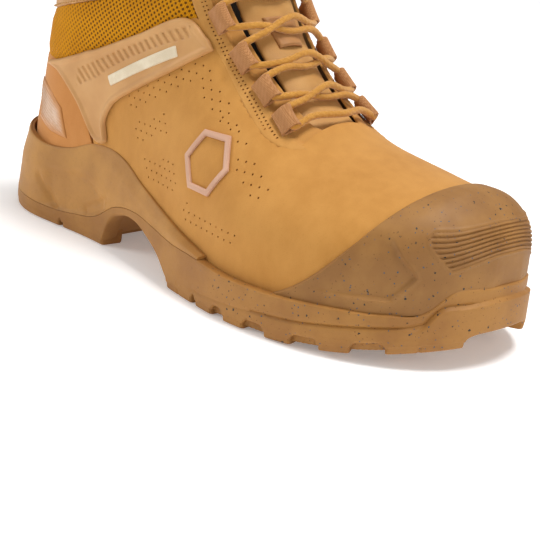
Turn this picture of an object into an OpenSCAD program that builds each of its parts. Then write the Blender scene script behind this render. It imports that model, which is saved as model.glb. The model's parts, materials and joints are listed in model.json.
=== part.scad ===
// Steel toe work boot, right foot. +X points to the toe, +Y to the inner (medial) side, +Z up.
// The origin is on the floor, at the middle of the boot's box.

/* [Size] */
// Length of the sole unit, heel back to toe tip
boot_length = 305; // [295:1:315]
// Depth of the tread lugs
lug_depth = 5; // [3:0.5:6]
// Rise of the toe above the floor
toe_spring = 11; // [6:1:13]
// Height of the padded collar at the back of the heel
collar_back = 158; // [152:1:164]
// Half width of the shaft at the ankle
leg_half = 39; // [37:0.5:41]

/* [Materials] */
// Thickness of the nubuck leather
leather_t = 2; // [1.6:0.1:2.2]
// Thickness of the moulded ankle overlay
overlay_t = 1.8; // [1:0.1:2.4]
// Thickness of the rubber toe bumper
bumper_t = 2.4; // [1.8:0.2:3]
// Wall of the steel toe cap
steel_t = 1.8; // [1.5:0.1:1.9]
// Thickness of the lining fabric
lining_t = 0.8; // [0.6:0.1:1]

/* [Laces] */
// Diameter of the round lace
lace_d = 3.4; // [3:0.1:4]
// Length of a webbing lace loop along the eyestay
loop_len = 9; // [7:0.5:11]
// Number of rows of webbing lace loops
loop_rows = 5; // [4:1:5]

/* [Hidden] */

// Clearance between layers that lie on each other
gap = 0.4;
// Offsets of the layers from the outer face of the leather, in then out
LEATHER = [-leather_t, 0];
OVERLAY = [gap, gap + overlay_t];
STEEL = [-leather_t - gap - steel_t, -leather_t - gap];
LINING = [-5.9 - lining_t, -5.9];

// Ends of the sole unit, and of the leather upper at its lowest edge
sole_x = boot_length / 2;
upper_toe = sole_x - 5.5;
upper_heel = -sole_x + 7.5;

// Height of the lower edge of the leather above the foot floor
foot_z = 0.4;

// Centre line in plan, and the half widths of the sole and the upper on each side of it
CENTRE = [[-152, 2.6], [-60, 1.6], [0, 1.6], [60, 3.6], [110, 7.6], [152, 11.6]];
SOLE_OUT = [[-152, 41], [-110, 41.5], [-60, 41], [-20, 47], [20, 57], [55, 63], [85, 62],
            [115, 58], [152, 54]];
SOLE_IN = [[-152, 41], [-110, 41], [-60, 38], [-20, 37], [20, 43], [55, 53], [85, 54], [115, 51],
           [152, 48]];
UPPER_OUT = [[-152, 37], [-110, 38], [-60, 38], [-20, 43], [20, 52], [55, 58], [85, 57],
             [115, 53], [152, 49]];
UPPER_IN = [[-152, 37], [-110, 37], [-60, 36], [-20, 35], [20, 40], [55, 48], [85, 49], [115, 46],
            [152, 43]];

// Side view: instep and toe line, heel line (z, x), and the height where the upper is widest
INSTEP = [[-45, 240], [-28, 205], [-12, 168], [2, 142], [18, 119], [36, 100], [55, 85], [85, 75],
          [115, 70], [147, 66]];
HEEL = [[20, -145], [45, -145], [70, -140], [95, -135], [120, -131], [150, -129], [175, -131]];
WIDEST = [[-141, 55], [-105, 53], [-85, 46], [-60, 34], [-30, 24], [0, 19], [40, 20], [90, 28],
          [120, 36], [147, 44]];

// Side view: top of the sole wall, top of the outsole rim, foot floor, and underside of the tread
FEATHER = [[-148, 44], [-125, 41], [-102, 39.5], [-87, 42], [-70, 48], [-54, 49], [-41, 46],
           [-26, 39], [-1, 31], [34, 23]];
RIM = [[-152, 9.5], [-80, 9.5], [-62, 13], [-45, 22.5], [-27, 25.5], [-10, 24], [8, 22], [30, 21.5],
       [50, 20], [76, 19.7], [107, 21.5], [127, 22.5], [139, 25], [146, 34.5], [152, 35]];
FLOOR = [[-152, 27], [-100, 27], [-60, 28.5], [-30, 28.5], [0, 26], [25, 20], [50, 14.5],
         [90, 14.5], [120, 18], [152, 25]];
ARCH = [[-54, 0], [-50, 8], [-39, 15], [-27, 16], [-14, 12], [0, 5], [6, 0]];

function smooth(t) = let(c = min(max(t, 0), 1)) c * c * (3 - 2 * c);
function lerp(a, b, t) = a + (b - a) * t;
function rise(P, i) = (P[i + 1][1] - P[i][1]) / (P[i + 1][0] - P[i][0]);
function tangent(P, i) = i == 0 ? rise(P, 0) : i == len(P) - 1 ? rise(P, i - 1)
    : let(a = P[i][0] - P[i - 1][0], b = P[i + 1][0] - P[i][0])
      (rise(P, i - 1) * b + rise(P, i) * a) / (a + b);
function span(P, x, i = 0) = (i >= len(P) - 2 || x < P[i + 1][0]) ? i : span(P, x, i + 1);
// Smooth curve through control points, y as a function of x, straight beyond its ends
function curve(P, x) = let(i = span(P, x), h = P[i + 1][0] - P[i][0], t = (x - P[i][0]) / h,
    m = tangent(P, i), n = tangent(P, i + 1))
    t < 0 ? P[i][1] + t * h * m : t > 1 ? P[i + 1][1] + (t - 1) * h * n
    : (2 * t * t * t - 3 * t * t + 1) * P[i][1] + (t * t * t - 2 * t * t + t) * h * m
      + (3 * t * t - 2 * t * t * t) * P[i + 1][1] + (t * t * t - t * t) * h * n;
// Smooth path through points of any dimension, s from 0 to 1
function path(P, s) = let(n = len(P) - 1, k = min(floor(s * n), n - 1), t = s * n - k,
    a = P[k], b = P[k + 1],
    m = (k == 0 ? b - a : (b - P[k - 1]) / 2),
    q = (k == n - 1 ? b - a : (P[k + 2] - a) / 2))
    (2 * t * t * t - 3 * t * t + 1) * a + (t * t * t - 2 * t * t + t) * m + (3 * t * t - 2 * t * t * t) * b
    + (t * t * t - t * t) * q;
// Rounded end of an outline: 1 until x reaches a, then down to 0 at b
function round_end(x, a, b, n) = let(t = min(max((x - a) / (b - a), 0), 1)) pow(1 - pow(t, n), 1 / n);

function centre(x) = curve(CENTRE, x);
function spring(x) = toe_spring * pow(min(max((x - 70) / (sole_x - 70), 0), 1), 2);
function tread(x) = (x > -54 && x < 6 ? curve(ARCH, x) : 0) + lug_depth + spring(x);
// Half width of the sole wall, moved in by inset
function sole_half(side, x, inset = 0) = (curve(side < 0 ? SOLE_OUT : SOLE_IN, x) - inset)
    * round_end(x, sole_x - inset - 62, sole_x - inset, 2.2)
    * round_end(-x, sole_x - inset - 46, sole_x - inset, 2.3);
// Height of the instep and toe line of the upper's surface, moved out by d
function instep_slope(x) = norm([1, (curve(INSTEP, x + 1) - curve(INSTEP, x - 1)) / 2]);
function crest(x, d = 0) = let(w = curve(WIDEST, x))
    w + (curve(INSTEP, x) + d * instep_slope(x) - w) * round_end(x, upper_toe - 26, upper_toe + d, 2.3);
function heel_x(z, d = 0) = curve(HEEL, z) - d;
// Half width of the upper's surface, moved out by d
function upper_half(side, x, z, d = 0) = let(w = curve(WIDEST, x), h = crest(x, d),
    e = min(max((z - w) / max(h - w, 0.001), 0), 1),
    wide = lerp(curve(side < 0 ? UPPER_OUT : UPPER_IN, x), leg_half, smooth((z - 45) / 70)) + d)
    wide * sqrt(1 - pow(e, 3.1)) * round_end(-x, -heel_x(z, d) - 54, -heel_x(z, d), 2.2)
    * round_end(x, upper_toe - 58, upper_toe + d, 2.2);
// Point of the surface from a point of the side view
function skin(side, p, d) = [p[0], centre(p[0]) + side * upper_half(side, p[0], p[1], d), p[1]];

// Signed volume, used to turn the faces of a closed mesh outward
function volume(P, F) = [for (f = F) P[f[0]] * cross(P[f[1]], P[f[2]])] * [for (f = F) 1];
module solid(P, F) polyhedron(P, volume(P, F) > 0 ? [for (f = F) [f[2], f[1], f[0]]] : F, convexity = 8);
function quad(a, b, c, d) = [[a, b, c], [a, c, d]];
function flat(L) = [for (a = L) for (b = a) b];

// Rings of equal length stacked into a solid, with its first and last ring closed across
module stack(rings) {
    m = len(rings[0]);
    last = (len(rings) - 1) * m;
    sides = flat([for (k = [0:len(rings) - 2], i = [0:m - 1]) let(j = (i + 1) % m)
        quad(k * m + i, k * m + j, (k + 1) * m + j, (k + 1) * m + i)]);
    solid(flat(rings), concat(sides, zip_cap(0, m), turn(zip_cap(last, m))));
}
function turn(F) = [for (f = F) [f[2], f[1], f[0]]];
// Cap of a ring whose points run from end to end and back: point i faces point m - i
function zip_cap(base, m) = [for (i = [0:m / 2 - 1], f = let(a = base + i, b = base + i + 1,
    c = base + m - i - 1, d = base + (m - i) % m)
    i == 0 ? [[a, c, b]] : i == m / 2 - 1 ? [[a, d, b]] : [[a, d, b], [d, c, b]]) f];

// Two matching grids of points, the outer and inner face of a sheet
function grid_faces(base, n, m) = flat([for (i = [0:n - 2], j = [0:m - 2])
    quad(base + i * m + j, base + i * m + j + 1, base + (i + 1) * m + j + 1, base + (i + 1) * m + j)]);
function strip(A, B) = flat([for (i = [0:len(A) - 2]) quad(A[i], A[i + 1], B[i + 1], B[i])]);
module sheet(A, B) {
    n = len(A);
    m = len(A[0]);
    rim = concat([for (j = [0:m - 1]) j], [for (i = [1:n - 1]) i * m + m - 1],
                 [for (j = [m - 2:-1:0]) (n - 1) * m + j], [for (i = [n - 2:-1:0]) i * m]);
    solid(concat(flat(A), flat(B)), concat(grid_faces(0, n, m), turn(grid_faces(n * m, n, m)),
        turn(strip(rim, [for (r = rim) r + n * m]))));
}
// A sheet that wraps the toe: its last row closes across the tip
function zip_row(base, m) = [for (j = [0:(m - 1) / 2 - 1], f = let(a = base + j, b = base + j + 1,
    c = base + m - 2 - j, d = base + m - 1 - j) b == c ? [[a, b, d]] : [[a, b, d], [b, c, d]]) f];
module nose(A, B) {
    n = len(A);
    m = len(A[0]);
    rim = concat([for (i = [n - 1:-1:0]) i * m], [for (j = [1:m - 1]) j],
                 [for (i = [1:n - 1]) i * m + m - 1], [(n - 1) * m]);
    solid(concat(flat(A), flat(B)), concat(grid_faces(0, n, m), turn(grid_faces(n * m, n, m)),
        zip_row((n - 1) * m, m), turn(zip_row(n * m + (n - 1) * m, m)),
        turn(strip(rim, [for (r = rim) r + n * m]))));
}
// Closed profiles swept along a route, with flat ends
module loft(P) {
    n = len(P);
    m = len(P[0]);
    sides = flat([for (i = [0:n - 2], k = [0:m - 1]) let(l = (k + 1) % m)
        quad(i * m + k, i * m + l, (i + 1) * m + l, (i + 1) * m + k)]);
    solid(flat(P), concat(sides, [for (k = [1:m - 2]) [0, k + 1, k]],
        [for (k = [1:m - 2]) [(n - 1) * m, (n - 1) * m + k, (n - 1) * m + k + 1]]));
}
// Closed profiles swept round a closed route
module torus(P) {
    n = len(P);
    m = len(P[0]);
    solid(flat(P), flat([for (i = [0:n - 1], k = [0:m - 1]) let(j = (i + 1) % n, l = (k + 1) % m)
        quad(i * m + k, i * m + l, j * m + l, j * m + k)]));
}

// Stations along the boot, closer together at the rounded ends
ring_n = 30;
function stations(a, b, n = ring_n) = [for (i = [0:n]) (a + b) / 2 - (b - a) / 2 * cos(180 * i / n)];
// Ring round the sole at an inset, its height a function of x chosen by kind
function level(kind, x) = kind == "tread" ? tread(x) : kind == "rim" ? curve(RIM, x)
    : kind == "floor" ? curve(FLOOR, x) : 0;
function sole_ring(inset, kind, dz, n = ring_n) = let(X = stations(-sole_x + inset, sole_x - inset, n))
    concat([for (i = [0:n]) sole_point(-1, X[i], inset, kind, dz)],
           [for (i = [n - 1:-1:1]) sole_point(1, X[i], inset, kind, dz)]);
function sole_point(side, x, inset, kind, dz) =
    [x, centre(x) + side * sole_half(side, x, inset), level(kind, x) + dz];
// Ring round the foot of the upper, moved out by d, between two stations
function foot_ring(d, kind, dz, n = ring_n) = let(X = stations(upper_heel - d, upper_toe + d, n))
    concat([for (i = [0:n]) foot_point(-1, X[i], d, kind, dz)],
        [for (i = [n - 1:-1:1]) foot_point(1, X[i], d, kind, dz)]);
function foot_point(side, x, d, kind, dz) = [x, centre(x) + side * upper_half(side, x, 22, d),
    level(kind, x) + dz];

// Ring of the outsole's inner wall: inside the heel cup at the back, round the upper at the front
function core_ring(kind, dz) = let(X = stations(upper_heel + gap, upper_toe + gap + 0.1),
    D = [for (x = X) lerp(-gap, gap + 0.1, smooth((x + 10) / 25))])
    concat([for (i = [0:ring_n]) foot_point(-1, X[i], D[i], kind, dz)],
           [for (i = [ring_n - 1:-1:1]) foot_point(1, X[i], D[i], kind, dz)]);

// Grid of surface points on one side, between a lower and an upper line of the side view
function side_grid(side, LO, UP, d, n, m) = [for (i = [0:n]) let(a = path(LO, i / n), b = path(UP, i / n))
    [for (j = [0:m]) skin(side, lerp(a, b, j / m), d)]];
module side_panel(side, LO, UP, layer, n, m)
    sheet(side_grid(side, LO, UP, layer[1], n, m), side_grid(side, LO, UP, layer[0], n, m));
// Grid over the instep or toe: each row runs from the outer edge over the crest to the inner edge
function over_grid(EDGE, xa, xb, d, n, m, bow = 0, ease = false) = [for (i = [0:n])
    let(s = ease ? sin(90 * i / n) : i / n, e = path(EDGE, s), x = lerp(xa, xb + (ease ? d : 0), s),
        top = [x, crest(x, d)], foot = [e[0] + (ease ? d * s : 0), e[1]])
    [for (j = [-m:m]) let(f = pow(abs(j) / m, 1.8))
        skin(j < 0 ? -1 : 1, lerp(top, foot, f) + 4 * f * (1 - f) * bow * (1 - s) * [0.6, -1], d)]];
// Grid round the heel: each row runs from the outer edge round the back line to the inner edge, and stays
// dz above the foot floor; the offset changes from D[0] to D[1] on the way up
function back_grid(EDGE, za, zb, D, n, m, dz = foot_z) = [for (i = [0:n])
    let(s = i / n, d = lerp(D[0], D[1], smooth((s - 0.3) / 0.25)), e = path(EDGE, s), z = lerp(za, zb, s))
    [for (j = [-m:m]) let(q = lerp([heel_x(z, d), z], e, pow(abs(j) / m, 2)))
        skin(j < 0 ? -1 : 1, [q[0], max(q[1], curve(FLOOR, q[0]) + dz)], d)]];
module back_panel(EDGE, za, zb, layer, n, m)
    sheet(back_grid(EDGE, za, zb, [layer[1], layer[1]], n, m),
        back_grid(EDGE, za, zb, [layer[0], layer[0]], n, m));

// ---- Sole ----

lug_gap = 3.2;
lug_inset = 2.5;
lug_w = 13;
// Lugs along the edge of the sole, their two ends
EDGE_LUGS = [[-146, -90.4], [-88.6, -54.5], [8, 30], [33, 46], [53, 66], [77, 91], [103, 116], [128, 148.5]];
// An edge lug follows the rim
module edge_lug(side, x0, x1, draft = 1) loft([for (i = [0:6]) let(x = lerp(x0, x1, i / 6),
    z = spring(x), c = centre(x), out = sole_half(side, x, lug_inset), in = max(out - lug_w, 3))
    [[x, c + side * out, z + lug_depth], [x, c + side * (out - draft), z],
     [x, c + side * (in + draft), z], [x, c + side * in, z + lug_depth]]]);
// A middle lug is a prism under the tread between two stations and two lines across the sole
module lug(x0, x1, y0, y1, chamfer = 1.2) {
    c = chamfer;
    top = [[x0, y0], [x1, y0], [x1, y1], [x0, y1]];
    low = [[x0 + c, y0 + c], [x1 - c, y0 + c], [x1 - c, y1 - c], [x0 + c, y1 - c]];
    solid(concat([for (p = low) [p[0], p[1], spring(p[0])]],
        [for (p = top) [p[0], p[1], spring(p[0]) + lug_depth]]),
        [[0, 2, 1], [0, 3, 2], [4, 5, 6], [4, 6, 7], [0, 1, 5], [0, 5, 4], [1, 2, 6], [1, 6, 5],
         [2, 3, 7], [2, 7, 6], [3, 0, 4], [3, 4, 7]]);
}
module lug_row(x0, x1, columns) {
    inset = lug_inset + lug_w + lug_gap;
    a = max(centre(x0) - sole_half(-1, x0, inset), centre(x1) - sole_half(-1, x1, inset));
    b = min(centre(x0) + sole_half(1, x0, inset), centre(x1) + sole_half(1, x1, inset));
    w = (b - a - lug_gap * (columns - 1)) / columns;
    for (k = [0:columns - 1]) lug(x0, x1, a + k * (w + lug_gap), a + k * (w + lug_gap) + w);
}
// Middle rows: first station, number of rows, pitch and length
front_rows = [10, 8, 14.2, 11];
heel_rows = [-124, 4, 16, 12.8];
module outsole() color("peru") {
    stack([sole_ring(2.2, "tread", 0), sole_ring(0.3, "tread", 2.4), sole_ring(0, "rim", -1),
           sole_ring(0.8, "rim", 0), core_ring("rim", 0), core_ring("floor", -2.6)]);
    for (e = EDGE_LUGS, side = [-1, 1]) edge_lug(side, e[0], e[1]);
    for (r = [front_rows, heel_rows], k = [0:r[1] - 1]) let(x = r[0] + k * r[2])
        lug_row(x, x + r[3], x < 0 || k > 5 ? 2 : 3);
}
// Moulded shell round the heel and the waist, from the outsole rim to the feather line
cup_front = 33;
cup_n = 22;
cup_gap = 0.5;
function cup_out(side, x, inset, z) = let(v = max(x, inset * 1.8 - sole_x))
    [v, centre(v) + side * sole_half(side, v, inset), z];
function cup_in(side, x, hi) =
    let(v = lerp(heel_x(hi, gap), cup_front, (x + sole_x) / (cup_front + sole_x)))
    [for (z = [hi, curve(RIM, v) + cup_gap])
        [v, centre(v) + side * upper_half(side, v, min(z, 40), gap), z]];
function cup_profile(side, x) = let(lo = curve(RIM, x) + cup_gap, hi = max(curve(FEATHER, x), lo + 0.8))
    [cup_out(side, x, 0, lo), cup_out(side, x, 0.4, lerp(lo, hi, 0.55)), cup_out(side, x, 1.5, hi - 0.6),
     cup_out(side, x, 2.2, hi), each cup_in(side, x, hi)];
module heel_cup() color("peru") {
    X = stations(-sole_x, 2 * cup_front + sole_x, 2 * cup_n);
    loft(concat([for (i = [cup_n:-1:0]) cup_profile(-1, X[i])],
                [for (i = [1:cup_n]) cup_profile(1, X[i])]));
}
// The midsole has a pocket for the shank
module midsole() color("burlywood") difference() {
    stack([foot_ring(0, "floor", -2.2), foot_ring(-0.2, "floor", -0.3)]);
    shank_form(0.2, 0.6);
}
module toe_bumper() {
    EDGE = [[77, 21], [107, 22.9], [126, 24.2], [135, 27.4], [141, 33], [upper_toe - 0.6, 37.4]];
    in = 3 * gap;
    color("peru") nose(over_grid(EDGE, 120, upper_toe - 0.6, in + bumper_t, 10, 8, 6, true),
         over_grid(EDGE, 120, upper_toe - 0.6, in, 10, 8, 6, true));
}

// ---- Inside the sole ----

module puncture_plate() color("dimgray")
    stack([foot_ring(-4.6, "floor", 0, 20), foot_ring(-4.6, "floor", 0.6, 20)]);
module insole_board() color("tan")
    stack([foot_ring(-4.6, "floor", 0.8, 20), foot_ring(-4.6, "floor", 2.8, 20)]);
// Stiff strip let into the top of the midsole at the waist, grown by g at its sides and below, and by
// h above
shank_x = [-95, 12];
shank_t = 1.1;
module shank_form(g = 0, h = 0)
    loft([for (i = [0:12]) let(x = lerp(shank_x[0] - g, shank_x[1] + g, i / 12), c = centre(x),
        z = curve(FLOOR, x) - 0.5, w = 7 + g + 2 * sin(15 * i), low = z - shank_t - g)
        [[x, c - w, low], [x, c + w, low], [x, c + w, z + h], [x, c - w, z + h]]]);
module shank() color("silver") shank_form();
module footbed() color("slategray")
    stack([foot_ring(-7.7, "floor", 3.1, 20), foot_ring(-7.6, "floor", 6.4, 20),
        foot_ring(-9.8, "floor", 6.8, 20)]);
// Soft pad in the heel of the footbed
pad_x = -90;
module heel_pad() color("orange") stack([for (h = [[7, 1], [7.9, 1], [8.3, 0.94]])
    [for (a = [180:15:525]) let(x = pad_x + 27 * h[1] * cos(a))
        [x, centre(x) + 20 * h[1] * sin(a), curve(FLOOR, x) + h[0]]]]);

// ---- Upper ----

// Lines of the side view, x and z, from the heel forward; y follows from the surface
CUFF_FRONT = [[-16.4, 130.8], [-21, 140], [-26, 150], [-29.2, 158], [-31, 163]];
cuff_low_back = 101;
// Lower edge of the collar, straight in the side view
function cuff_low(x) = lerp(cuff_low_back, CUFF_FRONT[0][1],
    (x - heel_x(cuff_low_back)) / (CUFF_FRONT[0][0] - heel_x(cuff_low_back)));
function on_floor(X, dz = foot_z) = [for (x = X) [x, curve(FLOOR, x) + dz]];
LACE_EDGE = [[62, 80.5], [50, 85.5], [35, 96], [20, 108], [5, 124], [-6, 140], [-14, 154],
             [-17, 160]];
STAY_LOW = [[62.8, 75.2], [55, 74.4], [42, 78], [25, 89], [9, 103], [-10, 122], [-21, 142],
            [-28, 158]];
QUARTER_LOW = on_floor([-60, -50, -38, -22, -5, 10, 30, 50, 69.7]);
QUARTER_TOP = [[-88, 84], [-66, 93.2], [-40, 104.2], [-17, 115.4], [-8.6, 118], [8.4, 102], [24.4, 88],
               [41.6, 77.2], [55, 73.6], [63.3, 74.4]];
COUNTER_FRONT = [[-61, 30], [-77, 57], [-90, 83]];
VAMP_EDGE = concat([[70, 14]], on_floor([95, 120, upper_toe - 0.8]));
MESH_LOW = [[-126.4, 84.3], [-108, 84.3], [-89, 84.6], [-66, 93.9], [-40, 105], [-18, 116.2],
            [-8.6, 119.2]];
MESH_TOP = [for (x = [-124.4, -105, -85, -65, -45, -25, -15.6]) [x, cuff_low(x) - gap]];
OVERLAY_TOP = [[-114, 81], [-106, 83], [-98, 85.2], [-90, 88], [-83, 90.6], [-76, 93.4], [-68, 96],
               [-40, 108], [-15, 119.5], [-0.6, 112]];
OVERLAY_LOW = [[-113, 79.6], [-99, 77.5], [-84, 67], [-69, 51], [-59, 51.5], [-60.5, 61], [-57, 68.5],
               [-49, 75.5], [-17, 94], [3.2, 107.6]];

module quarter_lateral() color("peru") side_panel(-1, QUARTER_LOW, QUARTER_TOP, LEATHER, 14, 8);
module quarter_medial() color("peru") side_panel(1, QUARTER_LOW, QUARTER_TOP, LEATHER, 14, 8);
module vamp() color("peru")
    nose(over_grid(VAMP_EDGE, 63, upper_toe - 0.8, 0, 14, 8, 0, true),
         over_grid(VAMP_EDGE, 63, upper_toe - 0.8, -leather_t, 14, 8, 0, true));
module heel_counter() color("sandybrown") back_panel(COUNTER_FRONT, 30, 83.4, LEATHER, 7, 8);
module backstay() color("tan")
    back_panel([[-127, 84.3], [-126, 93], [-125, 102]], 84, cuff_low_back - gap, LEATHER, 3, 3);
module ankle_mesh_lateral() color("goldenrod") side_panel(-1, MESH_LOW, MESH_TOP, LEATHER, 12, 4);
module ankle_mesh_medial() color("goldenrod") side_panel(1, MESH_LOW, MESH_TOP, LEATHER, 12, 4);
module eyestay_lateral() color("tan") side_panel(-1, STAY_LOW, LACE_EDGE, [-leather_t, 0.6], 16, 3);
module eyestay_medial() color("tan") side_panel(1, STAY_LOW, LACE_EDGE, [-leather_t, 0.6], 16, 3);
module ankle_overlay_lateral() color("burlywood")
    side_panel(-1, OVERLAY_LOW, OVERLAY_TOP, OVERLAY, 20, 4);
module ankle_overlay_medial() color("burlywood")
    side_panel(1, OVERLAY_LOW, OVERLAY_TOP, OVERLAY, 20, 4);
// Padded collar: a leather roll over a foam core
module collar_cuff() color("tan")
    back_panel(CUFF_FRONT, cuff_low_back, collar_back, [-leather_t, 1], 6, 11);
module collar_foam() color("lemonchiffon")
    back_panel([[-20, 132], [-26, 145], [-32, 160]], cuff_low_back + 2, collar_back - 2,
               [-8.6, -leather_t - gap], 6, 11);

// Plain strip of reflective film on the outer overlay, and ribbed film on both sides of the heel
film_t = 0.6;
STRIP = [OVERLAY[1] + 0.3, OVERLAY[1] + 0.3 + film_t];
module overlay_strip() color("white")
    side_panel(-1, [[-56, 80], [-35, 91], [-13, 102]], [[-60, 86.5], [-39, 98], [-17, 109.5]],
               STRIP, 8, 2);
module heel_reflectors() color("silver") for (side = [-1, 1])
    side_panel(side, [[-120, 50], [-106, 46.5], [-91, 45.5]], [[-127, 70], [-112, 68], [-97, 60]],
               [gap, gap + film_t], 6, 4);
// Raised six-sided ring on the outer quarter
badge_x = 22;
badge_z = 62;
badge_r = 15;
badge_t = 0.9;
function badge_point(a, r, d) = let(q = r * cos(30) / cos(a % 60 - 30))
    skin(-1, [badge_x + q * cos(a), badge_z + q * sin(a)], d);
module side_badge() color("rosybrown")
    torus([for (a = [0:15:345]) [badge_point(a, badge_r * 0.8, gap), badge_point(a, badge_r, gap),
        badge_point(a, badge_r, gap + badge_t), badge_point(a, badge_r * 0.8, gap + badge_t)]]);

// ---- Tongue ----

TONGUE = [-6.4, -leather_t - gap];
TONGUE_EDGE = [[70, 66], [56, 70], [40, 76], [24, 86], [8, 102], [-5, 120], [-15, 138], [-20.6, 149],
    [-21.6, 154]];
module tongue_lower() color("tan")
    sheet(over_grid(TONGUE_EDGE, 66, -6.8, TONGUE[1], 14, 5),
        over_grid(TONGUE_EDGE, 66, -6.8, TONGUE[0], 14, 5));
UPPER_EDGE = [[-21, 161], [-24, 172], [-29, 183]];
module tongue_upper() color("tan")
    sheet(over_grid(UPPER_EDGE, -9.4, -20.5, TONGUE[1], 5, 5),
          over_grid(UPPER_EDGE, -9.4, -20.5, TONGUE[0], 5, 5));
KEEPER_EDGE = [[20.5, 111], [9, 123]];
module lace_keeper() color("sienna")
    sheet(over_grid(KEEPER_EDGE, 23, 12, -1.2, 2, 3), over_grid(KEEPER_EDGE, 23, 12, -2.2, 2, 3));

// ---- Laces ----

// Anchor of each row on the eyestay, its outer and inner side mirrored about the surface
ROWS = [[49, 84.6], [34.5, 95], [19.5, 107], [5, 122.4], [-6.6, 138.6]];
HOOK = [-14, 151];
function row_dir(i) = let(a = ROWS[max(i - 1, 0)], b = ROWS[min(i + 1, 4)]) (b - a) / norm(b - a);
// Unit vectors at a point of the surface: along a side view direction, and outward
function along(side, p, u) = let(a = skin(side, p - u, 0), b = skin(side, p + u, 0)) (b - a) / norm(b - a);
function outward(side, p) = let(c = cross(skin(side, p + [1, 0], 0) - skin(side, p - [1, 0], 0),
    skin(side, p + [0, 1], 0) - skin(side, p - [0, 1], 0)), n = c / norm(c)) n[1] * side > 0 ? n : -n;
loop_lift = 3.4;
loop_in = lace_d / 2 + 0.5;
loop_t = 1;
// A round eye that stands on the eyestay at p, its hole along the side view direction dir
module eye(side, p, dir, t, length) {
    u = along(side, p, dir);
    n = outward(side, p);
    c = skin(side, p, 0.6) + n * loop_lift;
    w = cross(u, n);
    corners = [[loop_in + t, -0.5], [loop_in, -0.5], [loop_in, 0.5], [loop_in + t, 0.5]];
    torus([for (a = [0:30:330]) let(out = n * cos(a) + w * sin(a))
        [for (q = corners) c + u * q[1] * length + out * q[0]]]);
}
function loop_base(i) = ROWS[i] - [2.2, 0.6];
module lace_loops(side) for (i = [0:loop_rows - 1]) eye(side, loop_base(i), row_dir(i), loop_t, loop_len);
module lace_loops_lateral() color("rosybrown") lace_loops(-1);
module lace_loops_medial() color("rosybrown") lace_loops(1);
// Metal speed hooks of the top row, shorter than the loops
hook_dir = [-7.4, 12.4] / norm([7.4, 12.4]);
module lace_hooks() color("silver") for (side = [-1, 1]) eye(side, HOOK, hook_dir, 0.8, 3);

// Middle of the eye of row i, moved along it by s
function eye_at(side, i, s) = let(p = i < 5 ? loop_base(i) : HOOK,
    u = along(side, p, i < 5 ? row_dir(i) : hook_dir))
    skin(side, p, 0.6) + outward(side, p) * loop_lift + u * s;
// Crest stations level with each row, for the lace where it crosses the tongue
CROSS_X = [51.5, 38, 25.6, 13, 4, -2.5];
function over(side, r, f, d) = let(k = min(floor(r), 4), t = r - k,
    R = lerp(ROWS[k], k < 4 ? ROWS[k + 1] : HOOK, t), x = lerp(CROSS_X[k], CROSS_X[k + 1], t))
    skin(side, lerp([x, crest(x, d)], R, pow(f, 1.8)), d);
lace_low = 0.6;
lace_high = lace_low + lace_d + 0.9;
lace_side = 2.7;
reach = loop_len / 2 + 0.6;
hook_reach = 2.1;
// From the top of one eye, over the tongue, to the foot of the eye above it on the other side
function crossing(side, i, d) = [eye_at(side, i, reach), over(side, i + 0.42, 0.5, lace_side),
    over(side, i + 0.5, 0, d), over(-side, i + 0.58, 0.5, lace_side),
    eye_at(-side, i + 1, -(i < 4 ? reach : hook_reach))];
function strand(side) = [for (i = [0:4]) each concat([eye_at(i % 2 == 0 ? side : -side, i, 0)],
    crossing(i % 2 == 0 ? side : -side, i, side < 0 ? lace_high : lace_low))];
// Knot, on the crest above the hooks
knot_x = -5.2;
knot = [4.2, 6, 4.2];
knot_up = [-0.5, 0, 0.866];
knot_out = [0.866, 0, 0.5];
knot_at = [knot_x, centre(knot_x), crest(knot_x, 0)] + knot_out * 6;
function knot_port(side, up, out, away = 0.1) =
    knot_at + knot_up * up + knot_out * out + [0, side * (knot[1] + away), 0];
// The straight stretch across the lowest row
function bar_side(side) = over(side, 0, 0.6, lace_low + 1.4) + [2.6, 0, 0];
bar = [eye_at(-1, 0, -reach), bar_side(-1), over(-1, 0, 0, lace_low) + [4.4, 0, 0], bar_side(1),
       eye_at(1, 0, -reach)];
function to_knot(side) = [eye_at(side, 5, 0), eye_at(side, 5, 3.4), knot_port(side, -2, -2, 3),
    knot_port(side, -2, -2)];
function reverse(L) = [for (i = [len(L) - 1:-1:0]) L[i]];
// Round tube of k sides along smooth points
function frame_tube(R, r, k = 8) = let(n = len(R), T = [for (i = [0:n - 1])
    let(t = R[min(i + 1, n - 1)] - R[max(i - 1, 0)]) t / norm(t)],
    first = let(c = cross(T[0], [0.31, 0.12, 0.94])) c / norm(c))
    [for (i = 0, u = first; i < n; i = i + 1,
        u = i < n ? let(v = u - T[i] * (u * T[i])) v / norm(v) : u)
        [for (a = [0:k - 1]) R[i] + r * (u * cos(360 * a / k) + cross(T[i], u) * sin(360 * a / k))]];
function route(P, n) = [for (i = [0:n]) path(P, i / n)];
module lace() color("goldenrod") {
    P = concat(reverse(to_knot(1)), reverse(strand(-1)), bar, strand(1), to_knot(-1));
    loft(frame_tube(route(P, 78), lace_d / 2 - 0.05));
}
module lace_knot() color("goldenrod") {
    R = [for (v = [-1, -0.55, 0.55, 1]) [for (a = [0:30:330]) let(q = abs(v) == 1 ? 0.8 : 1.04)
        knot_at + [0, v * knot[1], 0] + knot_up * knot[0] * q * cos(a) + knot_out * knot[2] * q * sin(a)]];
    loft(R);
}
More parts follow.
